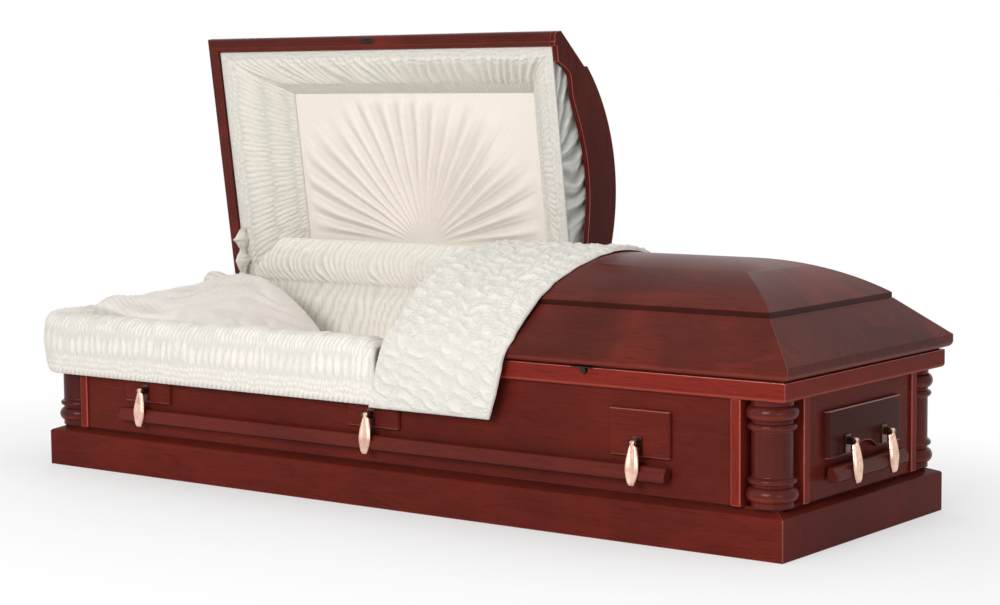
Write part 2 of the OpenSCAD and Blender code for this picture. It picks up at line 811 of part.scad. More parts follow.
// The panel that closes the crown; its edges bear on the top of the tier's inside.
module lid_panel(x_open) {
    x0 = -lid_l / 2 + wall_run + seat_gap;
    y1 = lid_w / 2 - wall_run - seat_gap;
    block(x0, x_open - header_t - seat_gap, -y1, y1, step_z - seat_gap - lid_panel_t, step_z - seat_gap);
}

module lid_sunburst() { color("#efe5da") opened() lid_panel(head_x1); }
module foot_lid_lining() { color("#e0dbd2") mirror([1, 0, 0]) lid_panel(-foot_x0); }

// The roll that covers the hinge. It lies on the back of the border, moves with the
// head lid and closes into the body's opening.
module hinge_apron() {
    s0 = rim_side_w + soft_gap + border_foot * border_side_w;
    s1 = lid_w / 2 - inner_y + soft_gap;
    s2 = lid_w / 2 - hinge_y + 62 + apron_w;
    u1 = border_u(s1 + 12, rim_side_w, border_side_w);
    face = border_face(rim_side_w, border_side_w, border_foot, u1);
    x1 = head_x1 - header_t - soft_gap - border_split_w * (u1 + 0.05);
    color("#dcd8cf") opened() along_x(-inner_x + 72, x1) translate([lid_w / 2, 0]) polygon(concat(
        [[-s0, ledge_top + soft_gap]],
        [for (p = face) [-p[0], p[1] - seat_gap]],
        [[-s2 + 20, rim_z + 8], [-s2, rim_z - 2], [-s2, lining_top + 12],
         [-s1, lining_top + 5], [-s1, ledge_top + soft_gap]]
    ));
}

// ---------- assembly ----------

base_moulding();
bottom_board();
side_panel();  // front_panel
mirror([0, 1, 0]) side_panel();  // back_panel
mirror([1, 0, 0]) end_panel();  // head_panel
end_panel();  // foot_panel
mirror([1, 0, 0]) corner_post();  // corner_post_head_front
mirror([1, 0, 0]) mirror([0, 1, 0]) corner_post();  // corner_post_head_back
corner_post();  // corner_post_foot_front
mirror([0, 1, 0]) corner_post();  // corner_post_foot_back
mirror([1, 0, 0]) column();  // column_head_front
mirror([1, 0, 0]) mirror([0, 1, 0]) column();  // column_head_back
column();  // column_foot_front
mirror([0, 1, 0]) column();  // column_foot_back
ledge_moulding();
on_front() plaque(-station_x, plaque_w / 2);  // front_plaque_head
on_front() plaque(0, plaque_w / 2);  // front_plaque_middle
on_front() plaque(station_x, plaque_w / 2);  // front_plaque_foot
on_back() plaque(-station_x, plaque_w / 2);  // back_plaque_head
on_back() plaque(0, plaque_w / 2);  // back_plaque_middle
on_back() plaque(station_x, plaque_w / 2);  // back_plaque_foot
on_head() end_plaque();  // head_plaque
on_foot() end_plaque();  // foot_plaque
on_front() ears(side_stations);  // front_ears
on_back() ears(side_stations);  // back_ears
on_head() ears(end_stations);  // head_ears
on_foot() ears(end_stations);  // foot_ears
on_front() arm(-station_x);  // front_arm_head
on_front() arm(0);  // front_arm_middle
on_front() arm(station_x);  // front_arm_foot
on_back() arm(-station_x);  // back_arm_head
on_back() arm(0);  // back_arm_middle
on_back() arm(station_x);  // back_arm_foot
on_head() arm(-station_end);  // head_arm_front
on_head() arm(station_end);  // head_arm_back
on_foot() arm(-station_end);  // foot_arm_front
on_foot() arm(station_end);  // foot_arm_back
on_front() bar(station_x + bar_over);  // front_bar
on_back() bar(station_x + bar_over);  // back_bar
on_head() bar(station_end + bar_over);  // head_bar
on_foot() bar(station_end + bar_over);  // foot_bar
head_lid_frame();
head_lid_crown();
head_lid_header();
foot_lid_frame();
foot_lid_crown();
foot_lid_header();
hinge(head_x0 + hinge_margin, head_x1 - hinge_margin);  // head_hinge
hinge(foot_x0 + hinge_margin, foot_x1 - hinge_margin);  // foot_hinge
lid_catch();
lid_support();
mattress();
pillow();
body_lining();
fold_out_lining();
throw();
lid_border();
lid_sunburst();
hinge_apron();
foot_lid_lining();
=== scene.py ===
"""A half-couch hardwood casket: lacquered wood, plated handles and a shirred ivory lining."""

import bmesh
import bpy
import numpy as np
from mathutils import Matrix, Vector
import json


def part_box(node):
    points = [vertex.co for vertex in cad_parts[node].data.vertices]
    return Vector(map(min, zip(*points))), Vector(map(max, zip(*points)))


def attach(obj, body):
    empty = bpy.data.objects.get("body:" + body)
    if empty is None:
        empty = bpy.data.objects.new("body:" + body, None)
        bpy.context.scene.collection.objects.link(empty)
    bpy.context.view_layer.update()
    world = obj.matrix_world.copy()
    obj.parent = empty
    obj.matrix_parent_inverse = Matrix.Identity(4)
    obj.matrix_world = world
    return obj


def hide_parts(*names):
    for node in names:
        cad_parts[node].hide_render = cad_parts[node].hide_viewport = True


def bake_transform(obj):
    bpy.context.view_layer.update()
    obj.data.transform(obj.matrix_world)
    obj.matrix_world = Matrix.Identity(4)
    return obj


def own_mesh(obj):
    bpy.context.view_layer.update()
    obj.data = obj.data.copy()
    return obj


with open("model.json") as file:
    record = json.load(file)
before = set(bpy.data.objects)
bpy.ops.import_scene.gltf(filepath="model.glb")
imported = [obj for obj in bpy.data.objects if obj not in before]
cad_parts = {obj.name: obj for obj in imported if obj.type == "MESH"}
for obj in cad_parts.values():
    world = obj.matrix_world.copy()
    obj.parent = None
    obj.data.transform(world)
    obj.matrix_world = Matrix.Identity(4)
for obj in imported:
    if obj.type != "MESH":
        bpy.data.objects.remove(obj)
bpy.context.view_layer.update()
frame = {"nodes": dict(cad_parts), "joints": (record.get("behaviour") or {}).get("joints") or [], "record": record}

# ---------- sizes, all in metres, read from the imported model or given ---


def corners_of(node):
    """The lowest and the highest corner of a CAD node as two arrays."""
    low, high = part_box(node)
    return np.array(low, float), np.array(high, float)


frame_low, frame_high = corners_of("foot_lid_frame")

LEDGE_X, LEDGE_Y, LEDGE_TOP = corners_of("ledge_moulding")[1]
FLOOR = corners_of("front_panel")[0][2]
LID_X, LID_Y = frame_high[:2]
RIM = LEDGE_TOP + 0.0045  # underside of the closed lids
SPLIT = frame_low[0] - 0.0145  # head lid's edge at the split
INNER_X, INNER_Y = LEDGE_X - 0.052, LEDGE_Y - 0.052  # inside faces of the walls
BED = corners_of("mattress")[1][2]

# The head lid's puffed border: how far its outer edge lies in from the lid's head edge, from the
# split and from the sides, how broad it is there, how high it stands, and how far the pleated
# panel laps under it.
IN_HEAD, IN_SPLIT, IN_SIDE = 0.0445, 0.0185, 0.0345
WIDE_HEAD, WIDE_SPLIT, WIDE_SIDE = 0.160, 0.134, 0.124
BORDER_HIGH = 0.101
PANEL_LAP = 0.007

hinge = next(j for j in frame["joints"] if j["name"] == "head_lid_hinge")
HINGE = np.array(hinge["pos_m"], float)
OPEN = np.radians(hinge["range_deg"][1])


def opened(points):
    """Turns points of the closed head lid about the hinge line to where it stands open."""
    c, s = np.cos(OPEN), np.sin(OPEN)
    turn = np.array([[1, 0, 0], [0, c, s], [0, -s, c]])
    return (points - HINGE) @ turn.T + HINGE


# ---------- shapes as arrays ----------


def lattice(x, y, seed):
    """A smooth random field from -1 to 1: random numbers on a lattice, eased between them."""
    cells = 64
    table = np.random.default_rng(seed).uniform(-1, 1, (cells, cells))
    x, y = np.broadcast_arrays(np.asarray(x, float), np.asarray(y, float))
    i, j = np.floor(x).astype(int), np.floor(y).astype(int)
    a, b = x - i, y - j
    a, b = a * a * (3 - 2 * a), b * b * (3 - 2 * b)
    i0, i1, j0, j1 = i % cells, (i + 1) % cells, j % cells, (j + 1) % cells
    near = table[i0, j0] * (1 - a) + table[i1, j0] * a
    far = table[i0, j1] * (1 - a) + table[i1, j1] * a
    return near * (1 - b) + far * b


def gather(phase, sharp=0.8):
    """Rounded ridges with narrow valleys, one to each whole number of phase: |cos| to a power."""
    return np.abs(np.cos(np.pi * phase)) ** sharp


def shirred(along, across, lines, pitch, wander):
    """Leaf-shaped puffs between lines of stitching, shifted half a pitch from row to row: the root of an
    arch between two lines less the square of the place along it."""
    lines = np.asarray(lines)
    row = np.clip(np.searchsorted(lines, across), 1, len(lines) - 1)
    place = np.clip((across - lines[row - 1]) / (lines[row] - lines[row - 1]), 0, 1)
    phase = along / pitch + 0.5 * row + wander
    side = np.abs(phase % 1 - 0.5) * 2
    return np.sqrt(np.clip(np.sin(np.pi * place) ** 0.8 - 0.95 * side ** 2, 0, 1))


def around(count):
    """Angles evenly round a full circle."""
    return np.linspace(0, 2 * np.pi, count, endpoint=False)


def ease(x, low, high):
    """Rises smoothly from 0 at low to 1 at high."""
    t = np.clip((x - low) / (high - low), 0, 1)
    return t * t * (3 - 2 * t)


def band(x, low, high, soft):
    """1 between low and high, easing to 0 over soft outside them."""
    return ease(x, low - soft, low) * (1 - ease(x, high, high + soft))


def superellipse(wave, power):
    """A sine or cosine to a power, with its sign kept: squarer below a power of 1, more pointed above."""
    return np.sign(wave) * np.abs(wave) ** power


def rounded(x):
    """A quarter circle that rises from 0 at 0, upright at first, to 1 at 1."""
    return np.sqrt(np.clip(1 - (1 - np.clip(x, 0, 1)) ** 2, 0, 1))


def outline(corners, count, blur):
    """A closed outline: corners joined by straight lines, sampled evenly, then averaged along its length
    over blur."""
    c = np.vstack([corners, corners[:1]]).astype(float)
    at = np.concatenate([[0], np.cumsum(np.linalg.norm(np.diff(c, axis=0), axis=1))])
    t = np.linspace(0, at[-1], count, endpoint=False)
    z = np.interp(t, at, c[:, 0]) + 1j * np.interp(t, at, c[:, 1])
    f = np.fft.fftfreq(count, at[-1] / count)
    z = np.fft.ifft(np.fft.fft(z) * np.exp(-2 * (np.pi * f * blur) ** 2))
    return np.stack([z.real, z.imag], axis=1)


def walk(corners, count, blur):
    """An open line through corners, sampled evenly and averaged over blur; its ends stay put."""
    c = np.asarray(corners, float)
    at = np.concatenate([[0], np.cumsum(np.linalg.norm(np.diff(c, axis=0), axis=1))])
    t = np.linspace(0, at[-1], count)
    p = np.stack([np.interp(t, at, c[:, k]) for k in range(c.shape[1])], axis=1)
    w = np.exp(-0.5 * ((t[:, None] - t[None, :]) / blur) ** 2)
    w /= w.sum(axis=1, keepdims=True)
    keep = 1 - np.minimum(1, np.minimum(t, at[-1] - t) / (2 * blur))[:, None]
    return (w @ p) * (1 - keep) + p * keep


def lengths(points, axis):
    """Distance along a grid of points, averaged over the other direction."""
    step = np.linalg.norm(np.diff(points, axis=axis), axis=2).mean(axis=1 - axis)
    return np.concatenate([[0], np.cumsum(step)])


def slope(points, axis, closed):
    """Change from each point's last neighbour to its next one."""
    if closed:
        return np.roll(points, -1, axis) - np.roll(points, 1, axis)
    return np.gradient(points, axis=axis)


def raised(points, height, close_u=False, close_v=True, side=None):
    """Moves each point along the surface's normal by height. The normal is the cross product of both
    slopes; side is a direction it should face, or away from each section's middle."""
    n = np.cross(slope(points, 0, close_u), slope(points, 1, close_v))
    n /= np.maximum(np.linalg.norm(n, axis=2, keepdims=True), 1e-12)
    away = points - points.mean(axis=1, keepdims=True) if side is None else np.array(side, float)
    if (n * away).sum() < 0:
        n = -n
    return points + n * height[..., None]


def grid(x, y, z):
    """A grid of points from three arrays, each stretched to the full grid."""
    return np.stack(np.broadcast_arrays(x, y, z), axis=2)


def sparse(count, step, rim):
    """The columns that a hidden back keeps of count: all within rim of its two edges, and one in every
    step between."""
    return np.r_[0:rim, rim:count - rim:step, count - rim:count]


def doubled(front, back, kept=slice(None)):
    """Joins a face and its back, with only the kept columns of the back, into one closed section."""
    return np.concatenate([front, back[:, kept][:, ::-1]], axis=1)


def surface(name, points, close_u=False, close_v=False, fold=None):
    """One mesh from a grid of points. Four neighbours make a face, and a section that is closed has its
    two ends capped. Its UV map holds metres along the grid, and fold, from 0 in a valley to 1 on a ridge,
    goes into an attribute, which the cloth materials turn into painted shade in the valleys."""
    nu, nv = points.shape[:2]
    i = np.arange(nu - 1 + close_u)
    j = np.arange(nv - 1 + close_v)
    a, b = np.meshgrid(i, j, indexing="ij")
    a1, b1 = (a + 1) % nu, (b + 1) % nv
    quads = np.stack([a * nv + b, a1 * nv + b, a1 * nv + b1, a * nv + b1], axis=-1).reshape(-1, 4)
    u_at, v_at = lengths(points, 0), lengths(points, 1)
    u_at = np.append(u_at, u_at[-1] + u_at[1])
    v_at = np.append(v_at, v_at[-1] + v_at[1])
    uv = np.stack([
        np.stack([u_at[a], u_at[a + 1], u_at[a + 1], u_at[a]], axis=-1),
        np.stack([v_at[b], v_at[b], v_at[b + 1], v_at[b + 1]], axis=-1),
    ], axis=-1).reshape(-1, 2)
    loops = quads.ravel()
    starts = np.arange(0, loops.size, 4)
    totals = np.full(len(quads), 4)
    if close_v and not close_u:
        ends = np.concatenate([np.arange(nv), (nu - 1) * nv + np.arange(nv)[::-1]])
        starts = np.concatenate([starts, [loops.size, loops.size + nv]])
        totals = np.concatenate([totals, [nv, nv]])
        loops = np.concatenate([loops, ends])
        uv = np.vstack([uv, np.zeros((2 * nv, 2))])
    mesh = bpy.data.meshes.new(name)
    mesh.vertices.add(nu * nv)
    mesh.vertices.foreach_set("co", points.astype(np.float32).ravel())
    mesh.loops.add(loops.size)
    mesh.loops.foreach_set("vertex_index", loops.astype(np.int32))
    mesh.polygons.add(len(starts))
    mesh.polygons.foreach_set("loop_start", starts.astype(np.int32))
    mesh.polygons.foreach_set("loop_total", totals.astype(np.int32))
    mesh.update(calc_edges=True)
    mesh.uv_layers.new(name="cloth").data.foreach_set("uv", uv.astype(np.float32).ravel())
    value = np.ones(nu * nv) if fold is None else np.clip(fold, 0, 1).ravel()
    mesh.attributes.new("fold", "FLOAT", "POINT").data.foreach_set("value", value.astype(np.float32))
    return finished(name, mesh)


def new_object(name, data):
    """A new object in the scene."""
    item = bpy.data.objects.new(name, data)
    bpy.context.scene.collection.objects.link(item)
    return item


def finished(name, mesh):
    """An object for a mesh, smooth, with its faces turned outwards."""
    work = bmesh.new()
    work.from_mesh(mesh)
    bmesh.ops.recalc_face_normals(work, faces=work.faces)
    work.to_mesh(mesh)
    work.free()
    mesh.polygons.foreach_set("use_smooth", np.full(len(mesh.polygons), True))
    mesh.validate()
    return new_object(name, mesh)


# ---------- shader groups ----------


def new_group(name, inputs, outputs):
    """An empty shader group, the sockets that give its inputs and those that take its results."""
    group = bpy.data.node_groups.new(name, "ShaderNodeTree")
    for label, kind, value in inputs:
        socket = group.interface.new_socket(label, in_out="INPUT", socket_type="NodeSocket" + kind)
        if value is not None:
            socket.default_value = value
    for label, kind in outputs:
        group.interface.new_socket(label, in_out="OUTPUT", socket_type="NodeSocket" + kind)
    return group, group.nodes.new("NodeGroupInput").outputs, group.nodes.new("NodeGroupOutput").inputs


def feed(tree, value, socket):
    """Links another node's output to the socket, or sets the socket to a plain value."""
    if isinstance(value, bpy.types.NodeSocket):
        tree.links.new(value, socket)
    else:
        socket.default_value = value


def feed_all(tree, sockets, **values):
    """Feeds the sockets whose names are the keys, with underscores for spaces."""
    for key, value in values.items():
        feed(tree, value, sockets[key.replace("_", " ")])


def add(tree, kind, **settings):
    """A node; each setting is a property of it or, as feed_all has it, one of its sockets."""
    node = tree.nodes.new("ShaderNode" + kind)
    for key, value in settings.items():
        if hasattr(node, key):
            setattr(node, key, value)
        else:
            feed_all(tree, node.inputs, **{key: value})
    return node


def noise(tree, place, scale, **settings):
    """A noise from 0 to 1 at place."""
    return add(tree, "TexNoise", Vector=place, Scale=scale, **settings).outputs["Fac"]


def mapped(tree, place, **settings):
    """The place moved, turned or scaled."""
    return add(tree, "Mapping", Vector=place, **settings).outputs["Vector"]


def ramp(tree, value, low, high, to_low=0.0, to_high=1.0, kind="LINEAR"):
    """Runs from to_low where value is low to to_high where it is high, and stays there."""
    node = add(tree, "MapRange", Value=value, From_Min=low, From_Max=high, To_Min=to_low, To_Max=to_high,
               interpolation_type=kind)
    return node.outputs["Result"]


def math(tree, operation, a, b, clamp=False):
    """A Math node; each of a and b is a socket or a number."""
    node = add(tree, "Math", operation=operation, use_clamp=clamp)
    feed(tree, a, node.inputs[0])
    feed(tree, b, node.inputs[1])
    return node.outputs[0]


def product(tree, *factors):
    """The factors multiplied with each other."""
    total = factors[0]
    for factor in factors[1:]:
        total = math(tree, "MULTIPLY", total, factor)
    return total


def blend_colour(tree, factor, a, b):
    """A colour Mix node; factor, a and b are sockets or plain values."""
    node = add(tree, "Mix", data_type="RGBA")
    for socket, value in ((node.inputs["Factor"], factor), (node.inputs[6], a), (node.inputs[7], b)):
        feed(tree, value, socket)
    return node.outputs[2]


def wood_group():
    """Reddish hardwood under lacquer. Coordinates come with the grain along X. Long soft figure, fine
    pores and slow blotches of stain set the colour, the roughness and the height. Warm patches, where the
    red shows through, come last."""
    tree, given, result = new_group("lacquered_hardwood", [
        ("Vector", "Vector", None), ("Light", "Color", (0.2, 0.03, 0.02, 1)),
        ("Dark", "Color", (0.1, 0.015, 0.01, 1)), ("Warm", "Color", (0.3, 0.03, 0.02, 1)),
        ("Blotch", "Float", 0.5), ("Patches", "Float", 0.2),
    ], [("Color", "Color"), ("Roughness", "Float"), ("Height", "Float")])
    place = given["Vector"]
    long, fine = mapped(tree, place, Scale=(1.1, 9.0, 9.0)), mapped(tree, place, Scale=(14.0, 170.0, 170.0))
    wide = mapped(tree, place, Location=(3.7, 1.3, 0.4), Scale=(1.6, 3.2, 3.2))
    figure = noise(tree, long, 2.2, Detail=5.0, Roughness=0.62, Distortion=1.1)
    pores = noise(tree, fine, 1.6, Detail=3.0, Roughness=0.6)
    stain = noise(tree, place, 3.2, Detail=2.0, Roughness=0.5, Distortion=0.4)
    glow = noise(tree, wide, 1.7, Detail=3.0, Roughness=0.5, Distortion=0.8)
    blotch = product(tree, ramp(tree, stain, 0.36, 0.68), given["Blotch"])
    dark = math(tree, "ADD", product(tree, ramp(tree, figure, 0.3, 0.72), 0.45), blotch, clamp=True)
    colour = blend_colour(tree, dark, given["Light"], given["Dark"])
    warm = product(tree, ramp(tree, glow, 0.54, 0.70), given["Patches"])
    colour = blend_colour(tree, warm, colour, given["Warm"])
    colour = blend_colour(tree, ramp(tree, pores, 0.50, 0.75, 0.0, 0.42), colour, (0.018, 0.003, 0.002, 1))
    feed_all(tree, result, Color=colour, Roughness=ramp(tree, stain, 0.0, 1.0, 0.24, 0.40),
             Height=math(tree, "SUBTRACT", 1.0, pores))
    return tree


def cloth_group():
    """Crinkled crepe. Coordinates are metres on the cloth. Small soft pebbles, drawn out along one
    direction, over a fine thread; valleys and the pebbles' dips take the shade colour, as painted shade."""
    tree, given, result = new_group("crepe_cloth", [
        ("Vector", "Vector", None), ("Fold", "Float", 1.0), ("Cloth", "Color", (0.8, 0.76, 0.7, 1)),
        ("Shade", "Color", (0.5, 0.5, 0.46, 1)), ("Stretch", "Vector", (1.0, 0.45, 1.0)),
        ("Pebble", "Float", 190.0),
    ], [("Color", "Color"), ("Height", "Float")])
    stretched = add(tree, "VectorMath", operation="MULTIPLY")
    tree.links.new(given["Vector"], stretched.inputs[0])
    tree.links.new(given["Stretch"], stretched.inputs[1])
    pebble = noise(tree, stretched.outputs[0], given["Pebble"], Detail=2.0, Roughness=0.5, Distortion=0.5)
    thread = noise(tree, given["Vector"], 1500.0, Detail=1.0)
    # Painted shade: the pebbles' dips and the low fold values take the shade colour.
    dip = ramp(tree, pebble, 0.28, 0.62, 0.22, 0.0)
    valley = ramp(tree, given["Fold"], 0.0, 0.75, 0.75, 0.0)
    shade = math(tree, "ADD", valley, dip, clamp=True)
    feed_all(tree, result, Color=blend_colour(tree, shade, given["Cloth"], given["Shade"]),
             Height=math(tree, "ADD", product(tree, pebble, 0.86), product(tree, thread, 0.14)))
    return tree


def plating_group():
    """Brushed copper-bronze plating: hairlines along Z, darker tarnish in slow patches."""
    tree, given, result = new_group("brushed_plating", [
        ("Vector", "Vector", None), ("Bright", "Color", (0.8, 0.5, 0.38, 1)),
        ("Tarnish", "Color", (0.3, 0.14, 0.09, 1)), ("Patches", "Float", 0.5),
    ], [("Color", "Color"), ("Roughness", "Float"), ("Height", "Float")])
    hair = noise(tree, mapped(tree, given["Vector"], Scale=(900.0, 900.0, 30.0)), 1.0, Detail=2.0)
    slow = noise(tree, given["Vector"], 42.0, Detail=3.0, Roughness=0.6)
    dull = product(tree, ramp(tree, slow, 0.42, 0.68), given["Patches"])
    feed_all(tree, result, Color=blend_colour(tree, dull, given["Bright"], given["Tarnish"]),
             Roughness=ramp(tree, hair, 0.0, 1.0, 0.2, 0.36), Height=hair)
    return tree


WOOD, CLOTH, PLATING = wood_group(), cloth_group(), plating_group()

# ---------- materials ----------


def new_material(name, group, looks, **plain):
    """A material with one Principled shader and one of the groups, whose sockets take looks; plain
    values go on the shader's own sockets."""
    mat = bpy.data.materials.new(name)
    mat.use_nodes = True
    tree = mat.node_tree
    shader = tree.nodes["Principled BSDF"]
    look = add(tree, "Group", node_tree=group)
    feed_all(tree, look.inputs, **looks)
    feed_all(tree, shader.inputs, Base_Color=look.outputs["Color"], **plain)
    return mat, tree, shader, look, add(tree, "TexCoord").outputs


def bumped(tree, shader, height, distance, strength):
    """Feeds a height to the shader's normal."""
    bump = add(tree, "Bump", Height=height, Distance=distance, Strength=strength)
    feed_all(tree, shader.inputs, Normal=bump.outputs["Normal"])


# Painted highlight: a lighter red for faces that roll under, standing in for light caught on lower rounded edges.
PAINTED_UNDERSIDE_HIGHLIGHT = (0.30, 0.052, 0.034, 1)
# Painted shadow: a near-black red for the upright step under the crown, where shade falls.
PAINTED_GROOVE_SHADOW = (0.012, 0.002, 0.0015, 1)


def wood(name, turn, light, dark, blotch=0.5, gloss=0.035, patches=0.15, specular=0.03, underside_highlight=0.0,
         shadow_band=None):
    """Lacquered wood whose grain runs along X, turned first by turn, in degrees about X, Y and Z. Where
    faces roll under, a lighter red is mixed in by the given share: a painted highlight on lower rounded
    edges. On upright faces in the given band of heights the colour goes near black: a painted shadow on
    the step under the crown."""
    warm = (light[0] * 1.7, light[1] * 1.4, light[2] * 1.3, 1)
    looks = {"Light": (*light, 1), "Dark": (*dark, 1), "Warm": warm, "Blotch": blotch, "Patches": patches}
    mat, tree, shader, look, place = new_material(
        name, WOOD, looks, Coat_Weight=gloss, Coat_Roughness=0.2, Coat_IOR=1.45, Specular_IOR_Level=specular)
    along = mapped(tree, place["Object"], Rotation=tuple(np.radians(turn)))
    feed_all(tree, look.inputs, Vector=along)
    # Painted highlight on faces that roll under.
    if underside_highlight:
        facing = add(tree, "SeparateXYZ", Vector=place["Normal"]).outputs["Z"]
        thin = product(tree, ramp(tree, facing, -0.05, -0.35), ramp(tree, facing, -0.98, -0.85, 0.0, underside_highlight))
        colour = blend_colour(tree, thin, look.outputs["Color"], PAINTED_UNDERSIDE_HIGHLIGHT)
        # Painted shadow on upright faces within the band of heights.
        if shadow_band:
            height = add(tree, "SeparateXYZ", Vector=place["Object"]).outputs["Z"]
            soft_edge = 0.001
            foot = ramp(tree, height, shadow_band[0] - soft_edge, shadow_band[0] + soft_edge)
            head = ramp(tree, height, shadow_band[1] + soft_edge, shadow_band[1] - soft_edge)
            upright = ramp(tree, facing, 0.55, 0.25, 0.0, 0.70)
            colour = blend_colour(tree, product(tree, foot, head, upright), colour, PAINTED_GROOVE_SHADOW)
        feed_all(tree, shader.inputs, Base_Color=colour)
    feed_all(tree, shader.inputs, Roughness=look.outputs["Roughness"])
    bumped(tree, shader, look.outputs["Height"], 0.0002, 0.25)
    return mat


def cloth(name, colour, shade, pebble, stretch, relief, rough=0.9, sheen=0.25):
    """Crepe or satin, on the piece's own UV map and its fold attribute, which paints shade into the valleys."""
    mat, tree, shader, look, place = new_material(
        name, CLOTH, {"Cloth": (*colour, 1), "Shade": (*shade, 1), "Pebble": pebble, "Stretch": stretch},
        Roughness=rough, Sheen_Weight=sheen, Sheen_Roughness=0.5, Specular_IOR_Level=0.25)
    fold = add(tree, "Attribute", attribute_name="fold")
    feed_all(tree, look.inputs, Vector=place["UV"], Fold=fold.outputs["Fac"])
    bumped(tree, shader, look.outputs["Height"], relief, 1.0)
    return mat


def plated(name, bright, tarnish, patches):
    """Plated metal with hairlines."""
    mat, tree, shader, look, place = new_material(
        name, PLATING, {"Bright": (*bright, 1), "Tarnish": (*tarnish, 1), "Patches": patches}, Metallic=1.0)
    feed_all(tree, look.inputs, Vector=place["Object"])
    feed_all(tree, shader.inputs, Roughness=look.outputs["Roughness"])
    bumped(tree, shader, look.outputs["Height"], 0.00005, 0.4)
    return mat


RED = (0.128, 0.0165, 0.0110)
RED_DARK = (0.070, 0.0105, 0.0075)
BRIGHT_RED = (0.195, 0.0200, 0.0130)
BROWN = (0.105, 0.0175, 0.0120)
BROWN_DARK = (0.056, 0.0110, 0.0080)

ALONG, ACROSS, UPRIGHT = (0, 0, 0), (0, 0, 90), (0, 90, 0)
base_wood = wood("base_wood", ALONG, RED, RED_DARK, 0.45)
# The ledge's last share paints a highlight on its lower rounded edge.
ledge_wood = wood("ledge_wood", ALONG, BRIGHT_RED, RED, 0.4, underside_highlight=0.8)
side_wood = wood("side_panel_wood", ALONG, RED, RED_DARK, 0.5)
end_wood = wood("end_panel_wood", ACROSS, RED, RED_DARK, 0.5)
post_wood = wood("post_wood", UPRIGHT, BRIGHT_RED, RED, 0.4)
# The column's last share paints a highlight on its lower rounds.
column_wood = wood(
    "column_wood", UPRIGHT, (0.105, 0.014, 0.010), (0.050, 0.008, 0.006), 0.7, 0.26, 0.4, 0.03, 0.25)
plaque_wood = wood("plaque_wood", ALONG, RED, RED_DARK, 0.45)
# Plaques' arrises: a real high gloss, and a lighter red that paints a highlight along them.
glossy_painted_highlight_arris = wood("glossy_painted_highlight_arris", ALONG, (0.26, 0.040, 0.026), (0.15, 0.025, 0.017), 0.4, 1.0, 0.0, 0.3)
end_plaque_wood = wood("end_plaque_wood", ACROSS, BROWN_DARK, (0.035, 0.007, 0.005), 0.5)
bar_wood = wood("bar_wood", ALONG, RED, RED_DARK, 0.4, 0.2)
end_bar_wood = wood("end_bar_wood", ACROSS, BROWN, BROWN_DARK, 0.4, 0.2)
# The share 0.3 in both lid woods paints a highlight on faces that roll under.
lid_wood = wood("lid_wood", ALONG, BROWN, BROWN_DARK, 0.55, 0.055, 0.7, 0.045, 0.3)
# The foot lid's band of heights paints a shadow on the step under its crown.
foot_lid_wood = wood("foot_lid_wood", ALONG, BROWN, BROWN_DARK, 0.55, 0.055, 0.7, 0.045, 0.3, (0.470, 0.4815))
header_wood = wood("header_wood", UPRIGHT, BROWN, BROWN_DARK, 0.5)
under_wood = wood("bottom_board_wood", ALONG, BROWN, BROWN_DARK, 0.5)
# Lighter reds and browns for bevelled arrises: painted highlights where the edges catch the light.
arris_highlight_red = wood("painted_highlight_arris", ALONG, (0.42, 0.060, 0.036), (0.30, 0.040, 0.024), 0.4, 0.3, 0.0, 0.4)
header_arris_highlight = wood("painted_highlight_header_arris", UPRIGHT, (0.60, 0.085, 0.045), (0.42, 0.050, 0.028), 0.4, 0.3, 0.0, 0.4)
arris_highlight_brown = wood("painted_highlight_lid_arris", ALONG, (0.22, 0.036, 0.024), (0.13, 0.022, 0.015), 0.4, 0.3, 0.0, 0.4)

# Each cloth's second colour is the shade painted into its valleys.
IVORY, IVORY_SHADE = (0.76, 0.715, 0.650), (0.46, 0.465, 0.425)
# A lighter copy of the ivory, for the roll: painted light.
BRIGHT_IVORY = (0.83, 0.780, 0.705)
crepe = cloth("ivory_crepe", IVORY, IVORY_SHADE, 190.0, (1.0, 0.4, 1.0), 0.0009)
border_crepe = cloth("border_crepe", IVORY, (0.50, 0.505, 0.465), 240.0, (1.0, 0.5, 1.0), 0.0008)
throw_crepe = cloth("throw_crepe", (0.72, 0.68, 0.62), (0.53, 0.53, 0.485), 260.0, (0.8, 1.0, 1.0), 0.0012)
pillow_crepe = cloth("pillow_crepe", (0.78, 0.725, 0.67), (0.50, 0.49, 0.445), 260.0, (1.0, 0.25, 1.0), 0.0006)
satin = cloth(
    "pleated_satin", (0.84, 0.765, 0.695), (0.58, 0.535, 0.49), 420.0, (1.0, 0.2, 1.0), 0.0002, 0.6, 0.4)
# A greyed copy of the satin for the gusset in the header's shade: painted shade.
painted_shade_satin = cloth(
    "shadowed_satin", (0.66, 0.67, 0.62), (0.27, 0.285, 0.26), 60.0, (1.0, 0.3, 1.0), 0.0004, 0.35, 0.4)
roll_crepe = cloth("roll_crepe", BRIGHT_IVORY, (0.50, 0.495, 0.455), 190.0, (1.0, 0.4, 1.0), 0.0009)
bedding = cloth("bedding_crepe", IVORY, IVORY_SHADE, 200.0, (1.0, 0.5, 1.0), 0.0006)

arm_metal = plated("copper_bronze", (0.86, 0.58, 0.46), (0.50, 0.26, 0.18), 0.55)
ear_metal = plated("dark_copper_bronze", (0.16, 0.085, 0.065), (0.04, 0.018, 0.014), 0.8)
hinge_metal = plated("dull_brass", (0.45, 0.34, 0.20), (0.20, 0.14, 0.08), 0.7)
catch_metal = plated("dark_bronze", (0.045, 0.035, 0.03), (0.02, 0.016, 0.014), 0.6)

# ---------- wood and metal parts from the CAD ----------

BODY_OF = {node: body for body, nodes in frame["record"]["behaviour"]["bodies"].items() for node in nodes}


def mounted(piece, node):
    """Mounts a piece where the CAD node was: on its body, in its place, with the node hidden."""
    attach(piece, BODY_OF[node])
    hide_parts(node)


